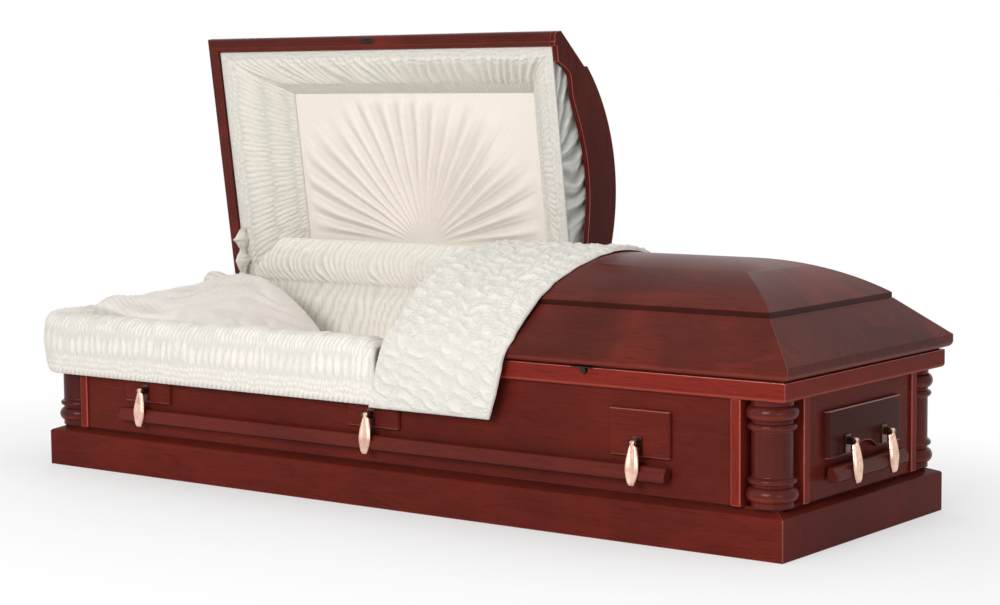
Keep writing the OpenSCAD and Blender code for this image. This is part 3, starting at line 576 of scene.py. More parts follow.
def eased(node, material, width=0.0012, angle=28, arris=None):
    """The CAD node's own shape with its arrises rounded over: its triangles are merged, flat areas made
    whole, and every edge sharper than angle is bevelled. A given arris material goes on the bevel's
    faces as a painted highlight along the edges."""
    mesh = frame["nodes"][node].data.copy()
    mesh.name = node + "_eased"
    work = bmesh.new()
    work.from_mesh(mesh)
    bmesh.ops.remove_doubles(work, verts=work.verts, dist=0.00002)
    bmesh.ops.dissolve_limit(work, angle_limit=np.radians(0.4), verts=work.verts, edges=work.edges)
    work.to_mesh(mesh)
    work.free()
    mesh.materials.clear()
    mesh.materials.append(material)
    mesh.polygons.foreach_set("use_smooth", np.full(len(mesh.polygons), True))
    if "custom_normal" in mesh.attributes:
        mesh.attributes.remove(mesh.attributes["custom_normal"])
    piece = new_object(node + "_eased", mesh)
    bevel = piece.modifiers.new("arris", "BEVEL")
    bevel.width = width
    bevel.segments = 2
    bevel.limit_method = "ANGLE"
    bevel.angle_limit = np.radians(angle)
    bevel.harden_normals = True
    if arris:
        mesh.materials.append(arris)
        bevel.material = 1
    mounted(piece, node)


def dressed(names, material):
    """Gives CAD nodes that keep their own mesh their material."""
    for name in names:
        mesh = frame["nodes"][name].data
        mesh.materials.clear()
        mesh.materials.append(material)


SIDES = ("head", "middle", "foot")
# A last material, where given, paints a highlight on the bevelled arrises.
eased("base_moulding", base_wood, 0.0016, 20, arris_highlight_brown)
eased("ledge_moulding", ledge_wood, 0.0012, 20, arris_highlight_red)
for node in ("front_panel", "back_panel"):
    eased(node, side_wood, 0.0008)
for node in ("head_panel", "foot_panel"):
    eased(node, end_wood, 0.0008)
for end in ("head", "foot"):
    for side in ("front", "back"):
        eased(f"corner_post_{end}_{side}", post_wood, 0.0022, 28, arris_highlight_red)
        eased(f"column_{end}_{side}", column_wood, 0.0006, 40)
for side in ("front", "back"):
    for place in SIDES:
        eased(f"{side}_plaque_{place}", plaque_wood, 0.0028, 40, glossy_painted_highlight_arris)
    eased(f"{side}_bar", bar_wood, 0.0040, 20)
for end in ("head", "foot"):
    outside = lid_wood if end == "head" else foot_lid_wood
    eased(f"{end}_plaque", end_plaque_wood, 0.0026, 40, glossy_painted_highlight_arris)
    eased(f"{end}_bar", end_bar_wood, 0.0040, 20)
    eased(f"{end}_lid_frame", outside, 0.0012, 24, arris_highlight_brown)
    eased(f"{end}_lid_crown", outside, 0.0010, 24)
    eased(f"{end}_lid_header", header_wood, 0.0024, 24, header_arris_highlight)
for side in ("front", "back", "head", "foot"):
    eased(f"{side}_ears", ear_metal, 0.0006, 40)
eased("lid_catch", catch_metal, 0.0004, 40)
dressed(["bottom_board"], under_wood)
dressed(["head_hinge", "foot_hinge"], hinge_metal)


# ---------- handle arms ----------


def arm_blade(half_low, half_high, height, depth):
    """A long leaf with a bevelled rim and a hollow oval face, looking along -Y, its top at the origin.
    Across, the section rises over the bevel, dips in the hollow and closes flat behind. Along, the half-
    width swells as a quarter wave and is drawn in at the tip, and the top leans back towards the
    pivot."""
    v = np.linspace(0, 1, 61)[:, None]
    swell = half_high + (half_low - half_high) * np.sin(np.pi / 2 * np.minimum(v / 0.64, 1))
    tip = 0.0062
    draw = (half_low - tip) * np.maximum(0, (v - 0.64) / 0.36) ** 1.7
    width = swell - draw
    across = np.array(
        [-1, -0.98, -0.76, -0.64, -0.4, -0.2, 0, 0.2, 0.4, 0.64, 0.76, 0.98, 1, 1, 0.5, 0, -0.5, -1])
    front = np.array(
        [0.30, 0.45, 0.94, 0.98, 0.84, 0.76, 0.73, 0.76, 0.84, 0.98, 0.94, 0.45, 0.30, 0, 0, 0, 0, 0])
    ends = np.clip(np.minimum(v * 1.6, 1 - v) / 0.07, 0, 1) ** 0.5
    hollow = np.where(front > 0.7, 1 - (1 - front / 0.98) * np.sin(np.pi * v) ** 0.5, front / 0.98)
    out = depth * (0.30 + (np.maximum(hollow, 0) - 0.30) * (0.35 + 0.65 * ends))
    out = np.where(front[None, :] == 0, 0, out)
    back = 0.0105 * (1 - v / 0.62).clip(0) ** 1.3
    return grid(width * across, back - out, -v * height)


def arm(node, turn):
    """One cast arm: a blade in front of the bar, a tongue bent back to the pin and the eye round the pin.
    The tongue is a tube whose oval section runs from the eye down into the blade's back, and the eye is a
    washer turned about X."""
    low, high = corners_of(node)
    pin_z, pin_back = -0.0065, 0.0040  # the pin's centre, below and behind the top of the blade
    bore, eye_r, chamfer_r = 0.0034, 0.0065, 0.0062  # radii of the eye
    tongue, chamfer_half = 0.0055, 0.0046  # half the thickness of tongue and eye
    depth = 0.009
    blade = arm_blade(0.0165, 0.0050, high[2] - low[2], depth)
    v = np.linspace(0, 1, 13)[:, None]
    ring = around(24)[None, :]
    deep = eye_r * (1 - 0.55 * v)
    behind = pin_back * (1 - 1.1 * v) + deep * np.sin(ring) - 0.001 * v
    strut = grid(tongue * np.cos(ring), behind, pin_z - 0.033 * v)
    rim = np.array([[bore, -tongue], [chamfer_r, -tongue], [eye_r, -chamfer_half],
                    [eye_r, chamfer_half], [chamfer_r, tongue], [bore, tongue]])
    turns = around(28)[:, None]
    eye = grid(rim[:, 1], pin_back + rim[:, 0] * np.cos(turns), pin_z + rim[:, 0] * np.sin(turns))
    parts = [surface(node + "_cast", blade, False, True), surface("strut", strut, False, True),
             surface("eye", eye, True, True)]
    facing = np.array(Matrix.Rotation(turn, 3, "Z") @ Vector((0, -1, 0)))
    outer = np.where(facing > 0.5, high, np.where(facing < -0.5, low, (low + high) / 2))
    origin = outer - facing * depth
    origin[2] = high[2]
    place = Matrix.Translation(Vector(origin)) @ Matrix.Rotation(turn, 4, "Z")
    work = bmesh.new()
    for part in parts:
        part.data.transform(place)
        work.from_mesh(part.data)
    piece = parts[0]
    work.to_mesh(piece.data)
    work.free()
    for part in parts[1:]:
        bpy.data.objects.remove(part)
    piece.data.materials.append(arm_metal)
    mounted(piece, node)


for place in SIDES:
    arm(f"front_arm_{place}", 0)
    arm(f"back_arm_{place}", np.pi)
for place in ("front", "back"):
    arm(f"foot_arm_{place}", np.pi / 2)
    arm(f"head_arm_{place}", -np.pi / 2)


def strike():
    """The thin oval plate let into the head lid's rim that meets the catch below, drawn on the closed
    lid: a rounded plan, crowned by a millimetre."""
    t = around(48)[None, :]
    r = np.array([1.0, 1.0, 0.96, 0.5, 0.02])[:, None]
    drop = np.array([0.0, 0.0007, 0.0011, 0.0013, 0.0014])[:, None]
    middle, inset, half_long, half_broad = -0.505, 0.0115, 0.0265, 0.0068
    x = middle + half_long * r * superellipse(np.cos(t), 0.6)
    y = -LID_Y + inset + half_broad * r * superellipse(np.sin(t), 0.8)
    piece = surface("head_lid_strike", opened(grid(x, y, RIM + 0.0002 - drop)), False, True)
    piece.data.materials.append(catch_metal)
    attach(piece, "head_lid")


strike()

# ---------- soft goods ----------


def soft(piece, material, node, fill):
    piece.data.materials.append(material)
    mounted(piece, node)


def fold_out():
    """The lining folded out over the ledge, from the split round the head corner to the hinge side, where
    it swells up into a puff. A closed section, o outwards from the ledge's face and z up, is carried
    along the ledge. Outside, the corner is a quarter circle; against the ledge it is square; inside, the
    cloth reaches over the corner post. Its face has leaning gathers over the top, a band of upright leaf-
    shaped puffs, a crinkled band and a scalloped hem."""
    section = outline(np.array([
        (-0.0585, 0.330), (-0.0590, 0.362), (-0.046, 0.377), (-0.020, 0.3835), (0.002, 0.3835), (0.018, 0.378),
        (0.0285, 0.364), (0.0320, 0.342), (0.0325, 0.300), (0.0305, 0.268), (0.0265, 0.248), (0.0195, 0.2350),
        (0.0110, 0.2320), (0.0050, 0.2430), (0.0022, 0.300), (0.0018, 0.350), (0.0010, 0.3564),
        (-0.020, 0.3562), (-0.050, 0.3562), (-0.0545, 0.350), (-0.0550, 0.330)]), 130, 0.0022)
    o, z = section[None, :, 0], section[None, :, 1]
    turn = 0.066  # radius of the corner, measured on the ledge's face
    front = np.linspace(SPLIT - 0.052, -LEDGE_X + turn, 620)
    side = np.linspace(-LEDGE_Y + turn, LEDGE_Y - 0.030, 300)[1:]
    angle = np.linspace(0, np.pi / 2, 60)[1:]
    cx, cy = -LEDGE_X + turn, -LEDGE_Y + turn
    dx, dy = -np.sin(angle)[:, None], -np.cos(angle)[:, None]
    square = 1 / np.maximum(np.abs(dx), np.abs(dy))
    inner = ease(o, -0.004, 0.0) * (1 - ease(o, 0.003, 0.008)) * (1 - ease(z, 0.352, 0.358))
    most = 0.030  # how far the square inner face may go out past the quarter circle
    covering = 0.050  # how far the cloth reaches in over the corner post
    far = (turn + o) * (1 - inner + inner * square)
    far = np.where(inner > 0, np.minimum(far, turn + most), far)
    far = far - covering * np.sin(2 * angle)[:, None] * (1 - ease(o, -0.058, -0.030))
    x = np.vstack([front[:, None] + 0 * o, cx + dx * far, -LEDGE_X - o + 0 * side[:, None]])
    y = np.vstack([-LEDGE_Y - o + 0 * front[:, None], cy + dy * far, side[:, None] + 0 * o])
    run = front[0] - front[-1]
    bend = (turn + 0.020) * np.pi / 2
    s = np.concatenate([front[0] - front, run + angle * bend / (np.pi / 2), run + bend + side + LEDGE_Y - turn])
    s = s[:, None]
    ends = ease(s, 0, 0.035) * (1 - ease(s, s[-1] - 0.06, s[-1]))
    zz = z + 0.004 * lattice(s * 7, 0.5, 3) * ease(z, 0.33, 0.38)
    zz = np.where(zz > 0.36, 0.36 + (zz - 0.36) * (0.5 + 0.5 * ends), zz)
    along = np.concatenate([front * 0 - 1, angle * 0 - 1, side])[:, None]
    zz = zz + 0.056 * ease(along, 0.198, 0.248) * ends * ease(z, 0.345, 0.380)
    points = grid(x, y, zz)
    outer = ease(o, -0.052, -0.035) * np.where(z < 0.355, ease(o, 0.012, 0.022), 1)
    warp = s + 0.0060 * lattice(s * 17, 0.2, 11) + 0.0035 * lattice(s * 41, 0.7, 12)
    wander = 0.55 * lattice(s * 9, z * 14, 5) + 0.25 * lattice(s * 30, z * 30, 6)
    lean = np.where(z > 0.345, (z - 0.356) * 16 - o * 9, 0)
    top = gather(warp / 0.0125 + lean + wander, 1.3) * (0.62 + 0.38 * lattice(s * 60, z * 70, 7))
    tall = 0.066 + 0.016 * lattice(warp * 24, 0.1, 13)
    leaf_env = np.sin(np.pi * np.clip((z - 0.281 - 0.008 * lattice(s * 20, 0.3, 8)) / tall, 0, 1))
    leaf_x = np.abs(((warp / 0.0225 + 0.45 * wander + (z - 0.31) * 7) % 1) - 0.5) * 2
    leaf = np.sqrt(np.clip(leaf_env ** 1.3 - leaf_x ** 2 * 1.25, 0, 1))
    leaf = leaf * (0.72 + 0.28 * lattice(warp * 48, 0.9, 14))
    between = gather(warp / 0.0075 + 2 * wander, 1.0) * (1 - leaf) * 0.35
    leaf = np.maximum(leaf, between)
    stitch_lines = [0.226, 0.240, 0.2545, 0.269, 0.284, 0.300]
    roving = z + 0.0045 * lattice(s * 42, z * 20, 9)
    small = shirred(warp, roving, stitch_lines, 0.0112, 0.35 * lattice(s * 60, z * 40, 15))
    small = small * (0.65 + 0.35 * lattice(s * 90, z * 90, 16))
    hem = gather(s / 0.0150 + (z - 0.23) * 55, 0.7)
    above_small, above_hem = ease(z, 0.272, 0.292), ease(z, 0.240, 0.252)
    w_top = ease(z, 0.340, 0.356)
    w_leaf = (1 - w_top) * above_small
    w_small = (1 - above_small) * above_hem
    w_hem = 1 - above_hem
    # fold paints shade in the valleys of the gathers, puffs and hem.
    fold = w_top * (0.3 + 0.7 * top) + w_leaf * (0.2 + 0.8 * leaf)
    fold = fold + w_small * (0.42 + 0.58 * small) + w_hem * hem
    relief = w_top * 0.0048 * top + w_leaf * 0.0062 * leaf + w_small * 0.0040 * small + w_hem * 0.0036 * hem
    points = raised(points, (relief - 0.0022) * outer)
    piece = surface("fold_out_cloth", points, False, True, 1 - (1 - fold) * outer)
    soft(piece, crepe, "fold_out_lining", 0.3)
    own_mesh(piece)


def throw():
    """The quilted throw laid over the foot lid. Its line runs up the front, over the rim and the crown
    and down behind; its two long edges are drawn in towards the front hem and flare over the ridge. Soft
    leaning puffs lie between wavy rows of fine shirring that cross it on the slant."""
    line = walk([(-0.3725, 0.2270), (-0.3755, 0.262), (-0.3770, 0.330), (-0.3765, 0.378), (-0.3665, 0.402),
                 (-0.318, 0.4530), (-0.270, 0.4960), (-0.215, 0.5275), (-0.150, 0.5555), (-0.080, 0.5735),
                 (-0.020, 0.5800), (0.040, 0.5788), (0.095, 0.5705), (0.130, 0.5615)], 360, 0.012)
    y, z = line[:, 0][:, None], line[:, 1][:, None]
    t = lengths(line[:, None, :], 0)[:, None]
    left = np.interp(t, [0, 0.05, 0.148, 0.215, 0.29, 0.40, 0.46, 0.52, 0.61, 0.75],
                     [0.008, 0.022, 0.054, 0.069, 0.067, 0.064, 0.069, 0.084, 0.100, 0.096])
    right = np.interp(t, [0, 0.02, 0.057, 0.136, 0.191, 0.296, 0.38, 0.465, 0.53, 0.60, 0.75],
                      [0.343, 0.353, 0.366, 0.388, 0.401, 0.408, 0.417, 0.428, 0.436, 0.438, 0.436])
    k = np.linspace(0, 1, 230)[None, :]
    x = left + (right - left) * k
    x = x + 0.0020 * lattice(t * 38, k * 2, 21) * (np.abs(k - 0.5) * 2) ** 4
    edge = np.minimum(k * (right - left), (1 - k) * (right - left))
    hem = np.minimum(t, t[-1] - t)
    near = np.minimum(edge, hem)
    rim = rounded(near / 0.010)
    slant = x * 0.85 - t * 0.38 + 0.010 * lattice(x * 9, t * 9, 26)
    shirr = (0.5 + 0.5 * np.cos(2 * np.pi * (slant / 0.060 + 0.12 * lattice(x * 25, t * 25, 28)))) ** 1.3
    wander = 0.45 * lattice(x * 16, t * 16, 22) + 0.30 * lattice(x * 42, t * 42, 23)
    puff = (0.5 + 0.5 * np.cos(2 * np.pi * ((t * 0.92 + x * 0.42) / 0.032 + wander))) ** 1.2
    swell = puff * (1 - 0.8 * shirr) * (0.75 + 0.25 * lattice(x * 30, t * 30, 29))
    fine = gather((t + 0.25 * x) / 0.0078 + 0.9 * lattice(x * 110, t * 60, 24), 1.0)
    crinkle = 0.5 + 0.5 * lattice(x * 170, t * 230, 27)
    sag = 0.003 * lattice(x * 9, t * 8, 25)
    flap = 0.004 * ease(t, 0.50, 0.62) * ease(k, 0.86, 1.0)
    border = ease(near, 0.004, 0.012)
    tuck = 0.4 + 0.6 * shirr
    # fold paints shade in the valleys, a little more near the edges and on the underside.
    fold = np.clip(0.16 + 0.62 * swell + 0.60 * tuck * fine * crinkle, 0, 1) * (0.8 + 0.2 * border)
    relief = 0.0080 * swell * border + 0.0044 * tuck * fine * (0.3 + 0.7 * crinkle)
    relief = relief + 0.0012 * crinkle + sag + flap
    middle = grid(x, y, z)
    top = raised(middle, (relief - 0.0080) * rim - (1 - rim) * 0.0125, False, False, side=(0, -0.5, 1))
    under = raised(middle, flap - 0.0135, False, False, side=(0, -0.5, 1))
    kept = sparse(k.size, 10, 8)
    piece = surface("throw_cloth", doubled(top, under, kept), False, True, doubled(fold, 0.8 + 0 * fold, kept))
    soft(piece, throw_crepe, "throw", 0.25)
    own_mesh(piece)


def lid_border():
    """The puffed crepe border inside the head lid. A rectangle at the rim is joined to a smaller one
    round the pleated panel; the height rises with the breadth and sags by a half wave. On the long sides
    small gathers at the rim open into leaning drapes; on the short sides rows of shirring run along it,
    with puffs across between them."""
    u = np.linspace(0, 1, 72)[None, :]
    x0, x1, y0 = -LID_X + IN_HEAD, SPLIT - IN_SPLIT, LID_Y - IN_SIDE
    x2, x3, y2 = x0 + WIDE_HEAD, x1 - WIDE_SPLIT, y0 - WIDE_SIDE
    corners = np.array([(x0, -y0), (x1, -y0), (x1, y0), (x0, y0)])
    inside = np.array([(x2, -y2), (x3, -y2), (x3, y2), (x2, y2)])
    rim_line, core_line, along, side_of = [], [], [], []
    run = 0.0
    for k, count in enumerate([420, 230, 420, 230]):
        a, b = corners[k], corners[(k + 1) % 4]
        c, d = inside[k], inside[(k + 1) % 4]
        t = np.linspace(0, 1, count, endpoint=False)[:, None]
        rim_line.append(a + (b - a) * t)
        core_line.append(c + (d - c) * t)
        along.append(run + np.linalg.norm(b - a) * t[:, 0])
        side_of.append(np.full(count, k))
        run += np.linalg.norm(b - a)
    rim_line, core_line = np.vstack(rim_line), np.vstack(core_line)
    s, side = np.concatenate(along)[:, None], np.concatenate(side_of)[:, None]
    plan = rim_line[:, None, :] * (1 - u[..., None]) + core_line[:, None, :] * u[..., None]
    start = 0.004
    h = start + (BORDER_HIGH - start) * (u ** 1.1 - 0.17 * np.sin(np.pi * u)) + 0 * s
    face = np.concatenate([plan, (RIM + h)[..., None]], axis=2)
    back = np.concatenate([plan, (RIM + np.minimum(h + 0.005, BORDER_HIGH + 0.001))[..., None]], axis=2)
    wander = 0.6 * lattice(s * 22, u * 2.2, 31) + 0.35 * lattice(s * 70, u * 6, 32)
    fine = 0.5 + 0.5 * lattice(s * 230, u * 26, 33)
    lean = 1.2 * u ** 1.2 * (1 + 1.2 * (1 - ease(s, 0.0, 0.30)))
    drape = gather(s / 0.033 - lean + 0.75 * lattice(s * 16, u * 1.5, 34), 2.8)
    drape = drape * band(u, 0.24, 0.66, 0.16) * (0.75 + 0.25 * lattice(s * 31, u * 3, 35))
    roving = u + 0.040 * lattice(s * 34, u * 3, 38) + 0.018 * lattice(s * 90, u * 8, 39)
    first = 0.45 + 0.55 * ease(u, 0.12, 0.24)
    pinch = first * shirred(s, roving, [-0.10, 0.05, 0.15, 0.25, 0.42], 0.0105, 0.5 * wander)
    pinch = pinch * (1 - ease(u, 0.22, 0.38))
    thin = 0.6 * gather(s / 0.0125 - 2.2 * u + wander, 1.0) * ease(u, 0.42, 0.70)
    long_fold = np.maximum(drape, np.maximum(pinch, thin))
    lines = [-0.12, 0.05, 0.13, 0.22, 0.62, 0.92, 1.10]
    short_fold = shirred(s, roving, lines, 0.0172, 0.45 * wander)
    short_fold = first * short_fold * (0.7 + 0.3 * lattice(s * 70, u * 5, 36))
    long_side = side % 2 == 0
    corner = 1 - ease(np.minimum(s, run - s), 0.0, 0.02)
    edge = band(u, 0.03, 0.97, 0.03) * (1 - corner)
    # Painted shade in the valleys; on the long sides also over the inner part of the border.
    fold = np.where(long_side, 0.22 + 0.78 * long_fold, 0.32 + 0.68 * short_fold)
    fold = fold + 0.18 * (fine - 0.5) - np.where(long_side, 0.22 * ease(u, 0.62, 0.95), 0)
    relief = np.where(long_side, 0.0090 * drape + 0.0034 * pinch + 0.0022 * thin, 0.0050 * short_fold)
    face = raised(face, (relief + 0.0013 * fine - 0.001) * edge, True, False, side=(0, 0, -1))
    kept = sparse(u.size, 6, 4)
    points = opened(doubled(face, back, kept))
    piece = surface("lid_border_cloth", points, True, True, doubled(fold, fold, kept))
    soft(piece, border_crepe, "lid_border", 0.4)


def header_gusset():
    """Satin let in between the border and the header board, seen from the foot end through the header's
    arch. A flat strip stands on the rim's underside and follows the slope of the tier at both ends; soft
    folds cross it on the slant."""
    y = np.linspace(-LID_Y + 0.040, LID_Y - 0.040, 300)[:, None]
    k = np.linspace(0, 1, 60)[None, :]
    inward = LID_Y - np.abs(y)
    high = np.minimum(BORDER_HIGH + 0.002, 0.0345 + 0.84 * (inward - 0.036))
    start = 0.006
    h = start + (high - start) * k
    wander = lattice(y * 9, h * 14, 101)
    fold = gather(y / 0.060 + h * 9 + 0.9 * wander, 1.6)
    fine = gather(y / 0.021 + h * 16 + 1.5 * wander, 1.2)
    x = SPLIT - 0.030 + 0.0085 * fold + 0.0018 * fine
    front = grid(x, y, RIM + h)
    points = doubled(front, front - np.array([0.0012, 0, 0]))
    # tone paints shade into the folds' valleys, on top of the greyed satin.
    tone = 0.15 + 0.85 * fold * (0.6 + 0.4 * fine)
    piece = surface("header_gusset_satin", opened(points), False, True, doubled(tone, tone))
    piece.data.materials.append(painted_shade_satin)
    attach(piece, "head_lid")


def sunburst():
    """The pleated panel in the head lid: pleats spread like rays from a point near its hinge side. Each
    ray is a narrow ridge with a smaller one beside it; rays are strongest in their middle reach and die
    out unevenly before the border."""
    x0, x1 = -LID_X + IN_HEAD + WIDE_HEAD - PANEL_LAP, SPLIT - IN_SPLIT - WIDE_SPLIT + PANEL_LAP
    y0 = LID_Y - IN_SIDE - WIDE_SIDE + PANEL_LAP
    x = np.linspace(x0, x1, 390)[:, None]
    y = np.linspace(-y0, y0, 240)[None, :]
    burst_x, burst_y, rays = -0.470, 0.205, 21
    reach = np.hypot(x - burst_x, y - burst_y)
    angle = np.arctan2(burst_y - y, x - burst_x) / np.pi
    ray = angle * rays + 0.13 * lattice(reach * 7, angle * rays, 41)
    length = 0.35 + 0.08 * lattice(np.round(ray) * 0.61 + 7, 0.4, 43) - 0.05 * gather(angle, 1)
    ridge, wide = gather(ray, 4), gather(ray, 1.2)
    twin = gather(ray + 0.36, 14) * 0.35
    edge = np.minimum(np.minimum(x - x0, x1 - x), np.minimum(y + y0, y0 - y))
    inside = ease(edge, 0.006, 0.045)
    swell = ease(reach, 0.02, 0.11) * (1 - ease(reach, length, length + 0.17)) * inside
    fan = np.maximum(ridge, twin)
    relief = (0.0044 * fan + 0.0044 * wide) * swell * np.clip(reach / 0.17, 0.22, 1.4)
    relief = relief + 0.0010 * lattice(x * 16, y * 16, 42) * inside
    # Painted shade: a dark line where the border meets the panel on one side, and the pleats' valleys darkened,
    # less near the burst.
    painted_edge_shadow = 1 - ease(y + y0, 0.0075, 0.0105)
    calm = 0.35 + 0.65 * ease(reach, 0.05, 0.22)
    fold = 1 - 0.85 * (1 - np.maximum(fan, 0.5 * wide)) * swell * calm - 0.8 * painted_edge_shadow
    kept = sparse(y.size, 24, 1)
    points = doubled(grid(x, y, RIM + 0.1035 - relief), grid(x, y, RIM + 0.1075), kept)
    piece = surface("sunburst_panel", opened(points), False, True, doubled(fold, fold, kept))
    soft(piece, satin, "lid_sunburst", 0.2)


def hinge_roll():
    """The shirred roll that crosses the hinge line from the body up onto the open lid. Its section is
    closed, with a full roll above and a hollow band below; its head end is cut on a slant. Long gathers
    wind up it, crowded at the top."""
    section = outline(np.array([
        (0.272, 0.280), (0.2675, 0.292), (0.2685, 0.330), (0.275, 0.378), (0.2910, 0.418), (0.284, 0.434),
        (0.2765, 0.452), (0.276, 0.478), (0.283, 0.505), (0.296, 0.526), (0.312, 0.535), (0.325, 0.529),
        (0.330, 0.508), (0.326, 0.465), (0.318, 0.420), (0.312, 0.380), (0.304, 0.3575), (0.2885, 0.3570),
        (0.282, 0.345), (0.2735, 0.330), (0.2725, 0.290)]), 170, 0.0030)
    y, z = section[None, :, 0], section[None, :, 1]
    k = np.linspace(0, 1, 460)[:, None]
    start = -0.935 + 0.085 * ease(z, 0.43, 0.54) - 0.02 * (1 - ease(z, 0.26, 0.40))
    x = start + (SPLIT - 0.020 - start) * k
    length = 0.99
    from_end = np.minimum(k, 1 - k) * length
    middle = 0.300
    points = grid(x, middle + (y - middle) * (0.45 + 0.55 * rounded(from_end / 0.022)), z)
    facing = 1 - ease(y, 0.300, 0.312)
    upper = ease(z, 0.418, 0.434)
    wander = 0.8 * lattice(x * 11, z * 9, 51) + 0.35 * lattice(x * 34, z * 20, 52)
    wind = 1.9 * np.sin((z - 0.41) * 24)
    long = gather(x / 0.0185 + wind + wander, 1.6)
    thin = gather(x / 0.0092 + 2.2 * wind + 1.6 * wander, 1.0)
    twig = gather(x / 0.0125 - 26 * (z - 0.45) * ease(z, 0.47, 0.54) + 1.4 * wander, 1.2)
    crown = ease(z, 0.485, 0.525)
    low_band = gather(x / 0.026 - 9 * (z - 0.33) + 1.3 * wander, 1.3)
    low_thin = gather(x / 0.0105 + 14 * (z - 0.33) + 1.5 * wander, 1.0)
    low_soft = ease(z, 0.375, 0.402)
    # fold paints shade in the valleys of the gathers.
    fold_up = (1 - crown) * (0.62 * long + 0.30 * thin) + crown * (0.45 * long + 0.5 * twig)
    fold_low = (1 - low_soft) * (0.1 + 0.55 * low_band + 0.35 * low_thin) + low_soft * (0.25 + 0.35 * low_band)
    fold = np.clip(upper * (0.12 + fold_up) + (1 - upper) * fold_low, 0, 1)
    relief = upper * (0.0066 * long * (1 - 0.4 * crown) + 0.0018 * thin + 0.0034 * twig * crown)
    relief = relief + (1 - upper) * ((1 - 0.6 * low_soft) * 0.0052 * low_band + 0.0014 * low_thin)
    points = raised(points, (relief - 0.003) * facing)
    piece = surface("hinge_roll_cloth", points, False, True, 1 - (1 - fold) * facing)
    piece.data.materials.append(roll_crepe)
    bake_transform(piece)
    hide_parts("hinge_apron")


def body_lining():
    """Shirred cloth on the inside of the walls: a closed section carried round the inside, past the
    corner posts, with upright puffs."""
    px, py = INNER_X - 0.005, INNER_Y - 0.005
    post_low, post_high = corners_of("corner_post_foot_front")
    nx, ny = post_low[0] - 0.006, -post_high[1] - 0.006
    plan = outline(np.array([
        (px, -ny), (px, ny), (nx, ny), (nx, py), (-nx, py), (-nx, ny), (-px, ny), (-px, -ny),
        (-nx, -ny), (-nx, -py), (nx, -py), (nx, -ny)]), 1500, 0.006)
    d = np.roll(plan, -1, 0) - np.roll(plan, 1, 0)
    inward = np.stack([-d[:, 1], d[:, 0]], axis=1) / np.linalg.norm(d, axis=1, keepdims=True)
    section = outline(np.array([
        (0.0, FLOOR + 0.003), (0.0, 0.325), (0.004, 0.3275), (0.010, 0.326), (0.012, 0.318), (0.012, 0.20),
        (0.011, FLOOR + 0.003)]), 44, 0.0015)
    o, z = section[None, :, 0], section[None, :, 1]
    s = lengths(plan[:, None, :], 0)[:, None]
    wander = 0.6 * lattice(s * 10, z * 12, 61)
    puff = gather(s / 0.024 + wander + z * 2, 0.8)
    face = ease(o, 0.003, 0.009)
    out = o + 0.0035 * puff * face
    xy = plan[:, None, :] + inward[:, None, :] * out[..., None]
    points = np.concatenate([xy, (z + 0 * s)[..., None]], axis=2)
    # The puffs' valleys get painted shade.
    piece = surface("wall_lining_cloth", points, True, True, 1 - (1 - puff) * face)
    soft(piece, bedding, "body_lining", 0.3)


def mattress():
    """The bed: a rounded slab, crowned a little, with shallow quilting across it."""
    low, high = corners_of("mattress")
    half, mid = (high - low) / 2, (high + low) / 2
    u = np.linspace(-1, 1, 260)[:, None]
    section = outline(np.array([(-1, -1), (1, -1), (1, 1), (-1, 1)]) * [half[1], half[2]], 120, 0.016)
    y, z = section[None, :, 0], section[None, :, 1]
    shrink = rounded((1 - np.abs(u)) * half[0] / 0.04) * 0.45 + 0.55
    x = u * half[0]
    quilt = -0.004 * (1 - gather(x / 0.14, 0.5)) * ease(z, 0.0, half[2] * 0.9)
    points = grid(mid[0] + x, mid[1] + y * (0.86 + 0.14 * shrink), mid[2] + z * shrink + quilt)
    piece = surface("mattress_cloth", points, False, True)
    soft(piece, bedding, "mattress", 0.9)


